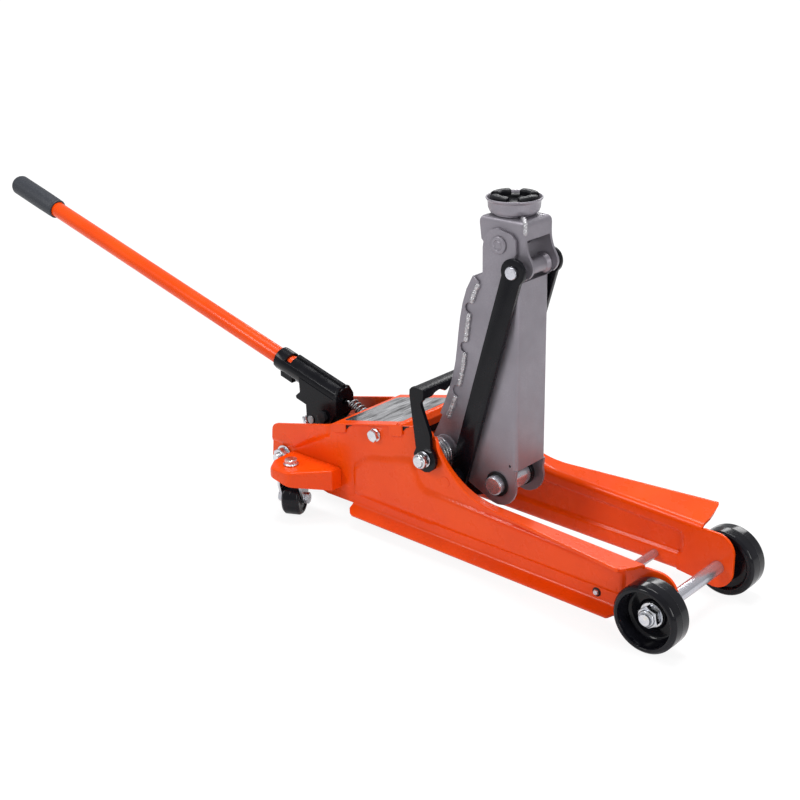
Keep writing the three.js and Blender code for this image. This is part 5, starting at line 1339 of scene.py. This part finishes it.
upper_hook = hooked(at(-445.3, 0, 111), spring_high - fall * (4 * MM), spring_high + drop_to)
lower_hook = hooked(spring_low + drop_to, spring_low + fall * (5 * MM) + drop_to,
                    at(-378.6, 0, 88))
upper_tail = wire_run("upper_tail", upper_hook, COIL_WIRE, dull_steel)
lower_tail = wire_run("lower_tail", lower_hook, COIL_WIRE, dull_steel)
return_spring = joined("return_spring_wire", [coil, upper_tail, lower_tail])
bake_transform(return_spring)
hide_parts("handle_return_spring")
print("return spring:", len(return_spring.data.polygons), "faces")

# %% Roller and release valve
roller = turned("roller", both_ends([
    (0, 15.9), (4.4, 15.9, 0.5), (5, 15.3), (5, 14.6), (3.5, 14.6), (3.5, 10.7), (6.5, 10.7, 0.6),
]), at(-486, 0, 83.5), ALONG_Y, dull_steel, 64, 0.3)
mount(roller, "socket", "dark_steel", "pump_roller")
mount_drawn("release_valve", "release_valve_spindle", zinc, "valve", "zinc", 0.3)
print("roller:", len(roller.data.polygons), "faces")

# %% [markdown]
# ## Handle
# The socket is a short tube with two cheeks welded under it. It keeps its drawn shape. The
# handle's tube is a bright orange steel tube, and the grip is a rubber sleeve with a rounded
# end. Both are turned about the handle's own line, which rises to the rear.

# %% Socket and its bolt
mount_drawn("handle_socket", "handle_socket_steel", satin_black, "socket", "black_paint", 0.6, 30)
SOCKET_BOLT = (-466, 92)
mount(joined("socket_bolt", [
    turned("socket_bolt_shank", rod(5, -17, 17), on(SOCKET_BOLT), ALONG_Y, cast_black, 32),
    hexagon("socket_bolt_head", 13, on(SOCKET_BOLT, -14.6), 4.4, -ALONG_Y, cast_black, 0, False),
    hexagon("socket_bolt_nut", 13, on(SOCKET_BOLT, 14.6), 4.9, ALONG_Y, cast_black, 0, True, 0.3),
    thread("socket_bolt_thread", 4.9, on(SOCKET_BOLT, 17), 4.3, ALONG_Y, cast_black, 1.25, 0.4),
]), "frame", "zinc", "socket_pivot_bolt")
print("socket")

# %% Tube and grip
RISE = math.atan(0.2762)
HANDLE_X, HANDLE_Z = -553, 143.6
HANDLE = Vector((-math.cos(RISE), 0, math.sin(RISE)))


def on_handle(x):
    return at(x, 0, HANDLE_Z + (HANDLE_X - x) * math.tan(RISE))


def length_to(x, start):
    return (start - x) / math.cos(RISE)


TUBE_FOOT, TUBE_TOP = -470, -1000
GRIP_FOOT, GRIP_TOP = -958, -1042
tube_length = length_to(TUBE_TOP, TUBE_FOOT)
mount(turned("handle_tube_steel", [
    (8.2, 0), (10, 0, 0.4), (10, tube_length, 0.4), (8.2, tube_length),
], on_handle(TUBE_FOOT), HANDLE, orange, 96, 0.3), "handle", "orange_paint", "handle_tube")
grip_length = length_to(GRIP_TOP, GRIP_FOOT)
grip_profile = [(0, 1), (10.2, 1), (10.2, 0), (12, 0, 0.8), (12.6, 1.2, 0.6), (12.6, 3, 0.4),
                (12.2, 3.8, 0.3), (12.4, 5, 0.4), (12.7, 7, 2), (13, 30, 4),
                (13, grip_length - 5, 3), (10.8, grip_length - 0.4, 2.6), (3, grip_length, 1.2),
                (2.4, grip_length - 1.4, 0.6), (0, grip_length - 1.6)]
mount(turned("handle_grip_rubber", grip_profile, on_handle(GRIP_FOOT), HANDLE, grip_foam, 96, 0.4),
      "handle", "rubber", "handle_grip")
print("handle tube is", round(tube_length), "mm long")

# %% [markdown]
# ## Carrying handle and cover
# The carrying handle is a moulded arch with scallops for the fingers. The cover is folded sheet,
# painted with the plates. Its top holds a plain metal foil panel.

# %% Carrying handle and cover
mount_drawn("carry_handle", "carry_handle_moulding", satin_black, "carry_handle", "black_paint",
            1.1, 25, 3)
mount_drawn("top_cover", "top_cover_sheet", orange, "frame", "orange_paint", 0.6)
print("carrying handle and cover")

# %% [markdown]
# Beside each tab of the cover a thin black sheet lies on the plate. It is painted shade: the
# small dark notch that the fold leaves just in front of each tab.

# %% Painted shade beside the tabs
notch_shade_shape = [(-0.3, 0.1), (-0.3, -4.2), (1.2, -4.8), (2.4, -3.2), (4.2, -1.7), (8, -0.9), (8, 0.1)]
TAB_FRONTS = (-393, -312)
notch_shades = []
for number, tab_front in enumerate(TAB_FRONTS):
    loop = [(tab_front + x, top_edge(tab_front + x) + z) for x, z in notch_shade_shape]
    # each thin black sheet is painted shade in the notch beside a tab
    notch_shades.append(sheared(f"relief_cut_{number}", [loop], 53.02, 53.26, cast_black, 0.06))
mount_pair(joined("painted_shade_at_cover_tabs", notch_shades), "frame", "black_paint", None, "painted_shade_at_cover_tabs")
print("relief cuts beside", len(notch_shades), "tabs on each side")

# %% Foil panel
# The dark and bright streaks in the foil's colour are painted reflection, the crinkled foil
# mirroring dark and lit surroundings. The same crease pattern also sets its roughness.
foil = Finish("plain_foil_panel", (0.62, 0.62, 0.64), 0.22, 1.0)
creases_and_painted_reflection = foil.noise(1, 5, 0.65, foil.stretched((120, 26, 60), (0, 0, 0.35)))
foil.tint(creases_and_painted_reflection, (0.07, 0.07, 0.075), 0.47, 0.62)
foil.tint((1, 3, 0.6, foil.stretched((95, 14, 40), (0, 0, 0.2))), (0.9, 0.9, 0.92), 0.54, 0.6)
foil.roughen(creases_and_painted_reflection, 0.14, 0.34)
foil.relief((60, 3), 0.4, 0.7)
panel_shape = eased([(-406, -44), (-322, -44), (-322, 44), (-406, 44)], 5, True, 6)
FOIL_FACE, FOIL_BACK = 2.32, 2.0
face = [at(x, y, top_edge(x) + FOIL_FACE) for x, y in panel_shape]
back = [at(x, y, top_edge(x) + FOIL_BACK) for x, y in panel_shape]
mount(skin("cover_foil", [face, back], foil), "frame", "zinc")
print("foil panel")

# %% [markdown]
# ## Floor, light and camera
# The jack stands on a plain pale floor that runs on out of sight. The camera sees the floor
# almost white, and the floor still takes the jack's soft shadow. Large lamps give the long
# highlights that show where a surface bends.

# %% Floor
def mix_by_view(tree, share, lit, seen, output):
    rays = add_node(tree, "ShaderNodeLightPath")
    gloss = add_node(tree, "ShaderNodeMath", {1: 0.35}, operation="MULTIPLY")
    either = add_node(tree, "ShaderNodeMath", operation="MAXIMUM")
    amount = add_node(tree, "ShaderNodeMath", operation="MULTIPLY")
    mixed = add_node(tree, "ShaderNodeMixShader")
    wire(tree, (rays, "Is Glossy Ray", gloss, 0), (rays, "Is Camera Ray", either, 0),
         (gloss, 0, either, 1), (either, 0, amount, 0), (share, 0, amount, 1),
         (amount, 0, mixed, 0), (lit, 0, mixed, 1), (seen, 0, mixed, 2),
         (mixed, 0, tree.nodes[output], "Surface"))


floor_paint = bpy.data.materials.new("pale_floor")
floor_paint.use_nodes = True
tree = floor_paint.node_tree
shader = tree.nodes["Principled BSDF"]
shader.inputs["Base Color"].default_value = (0.86, 0.86, 0.86, 1)
shader.inputs["Roughness"].default_value = 0.6
glow = add_node(tree, "ShaderNodeEmission", {"Color": (1, 1, 1, 1), "Strength": 1.08})
place = add_node(tree, "ShaderNodeTexCoord")
reach = add_node(tree, "ShaderNodeVectorMath", operation="LENGTH")
span = {"From Min": 0.5, "From Max": 1.6, "To Min": 0.82, "To Max": 1.0}
fade = add_node(tree, "ShaderNodeMapRange", span, interpolation_type="SMOOTHSTEP")
wire(tree, (place, "Object", reach, 0), (reach, "Value", fade, "Value"))
mix_by_view(tree, fade, shader, glow, "Material Output")
mesh = bpy.data.meshes.new("floor")
mesh.from_pydata([(-30, -30, 0), (30, -30, 0), (30, 30, 0), (-30, 30, 0)], [], [(0, 1, 2, 3)])
mesh.materials.append(floor_paint)
floor = linked("floor", mesh)
print("floor laid")

# %% World and lamps
scene = bpy.context.scene
world = bpy.data.worlds.new("studio")
scene.world = world
world.use_nodes = True
tree = world.node_tree
air = tree.nodes["Background"]
air.inputs["Color"].default_value = (0.93, 0.95, 1.0, 1)
air.inputs["Strength"].default_value = 0.28
white = add_node(tree, "ShaderNodeBackground", {"Color": (1, 1, 1, 1), "Strength": 1.0})
whole = add_node(tree, "ShaderNodeValue")
whole.outputs[0].default_value = 1.0
mix_by_view(tree, whole, air, white, "World Output")


def lamp(name, place, target, size, power):
    data = bpy.data.lights.new(name, "AREA")
    data.shape = "RECTANGLE"
    data.size, data.size_y = size
    data.energy = power
    light = linked(name, data)
    light.location = place
    light.rotation_mode = "QUATERNION"
    light.rotation_quaternion = (Vector(target) - Vector(place)).to_track_quat("-Z", "Y")


middle = (0.15, 0, 0.15)
lamp("top_box", (0.1, 0.2, 2.2), middle, (1.2, 0.8), 40)
lamp("side_box", (-0.9, -2.0, 1.6), middle, (0.8, 0.7), 22)
lamp("front_box", (2.3, -0.75, 0.85), middle, (0.6, 0.9), 14)
lamp("rear_strip", (-0.4, 2.2, 1.3), middle, (1.8, 0.35), 15)
scene.view_settings.view_transform = "Standard"
print("four lamps")

# %% [markdown]
# The camera stands a little above the jack at its front right, level to within a degree. Its
# place is given as a point and the three directions of its frame: right, up and back.

# %% Camera
azimuth, elevation, roll = math.radians(41.84), math.radians(21.25), math.radians(-1.09)
back = Vector((math.sin(azimuth) * math.cos(elevation), -math.cos(azimuth) * math.cos(elevation),
               math.sin(elevation)))
right = (-back).cross(ALONG_Z).normalized()
rise = right.cross(-back)
across = right * math.cos(roll) + rise * math.sin(roll)
above = rise * math.cos(roll) - right * math.sin(roll)
camera_data = bpy.data.cameras.new("camera")
camera_data.lens = 62.917
camera_data.sensor_width = 36
camera_data.clip_end = 200
camera = linked("camera", camera_data)
pose = Matrix((across, above, back)).transposed().to_4x4()
pose.translation = Vector((AXLE_X + 0.57281, -1.04528, 0.67859))
camera.matrix_world = pose
scene.camera = camera
print("camera at", [round(a, 3) for a in camera.location])

# %% [markdown]
# Last, the number of pieces mounted is printed.

# %% Count of pieces
print("pieces mounted:", len(mounted))
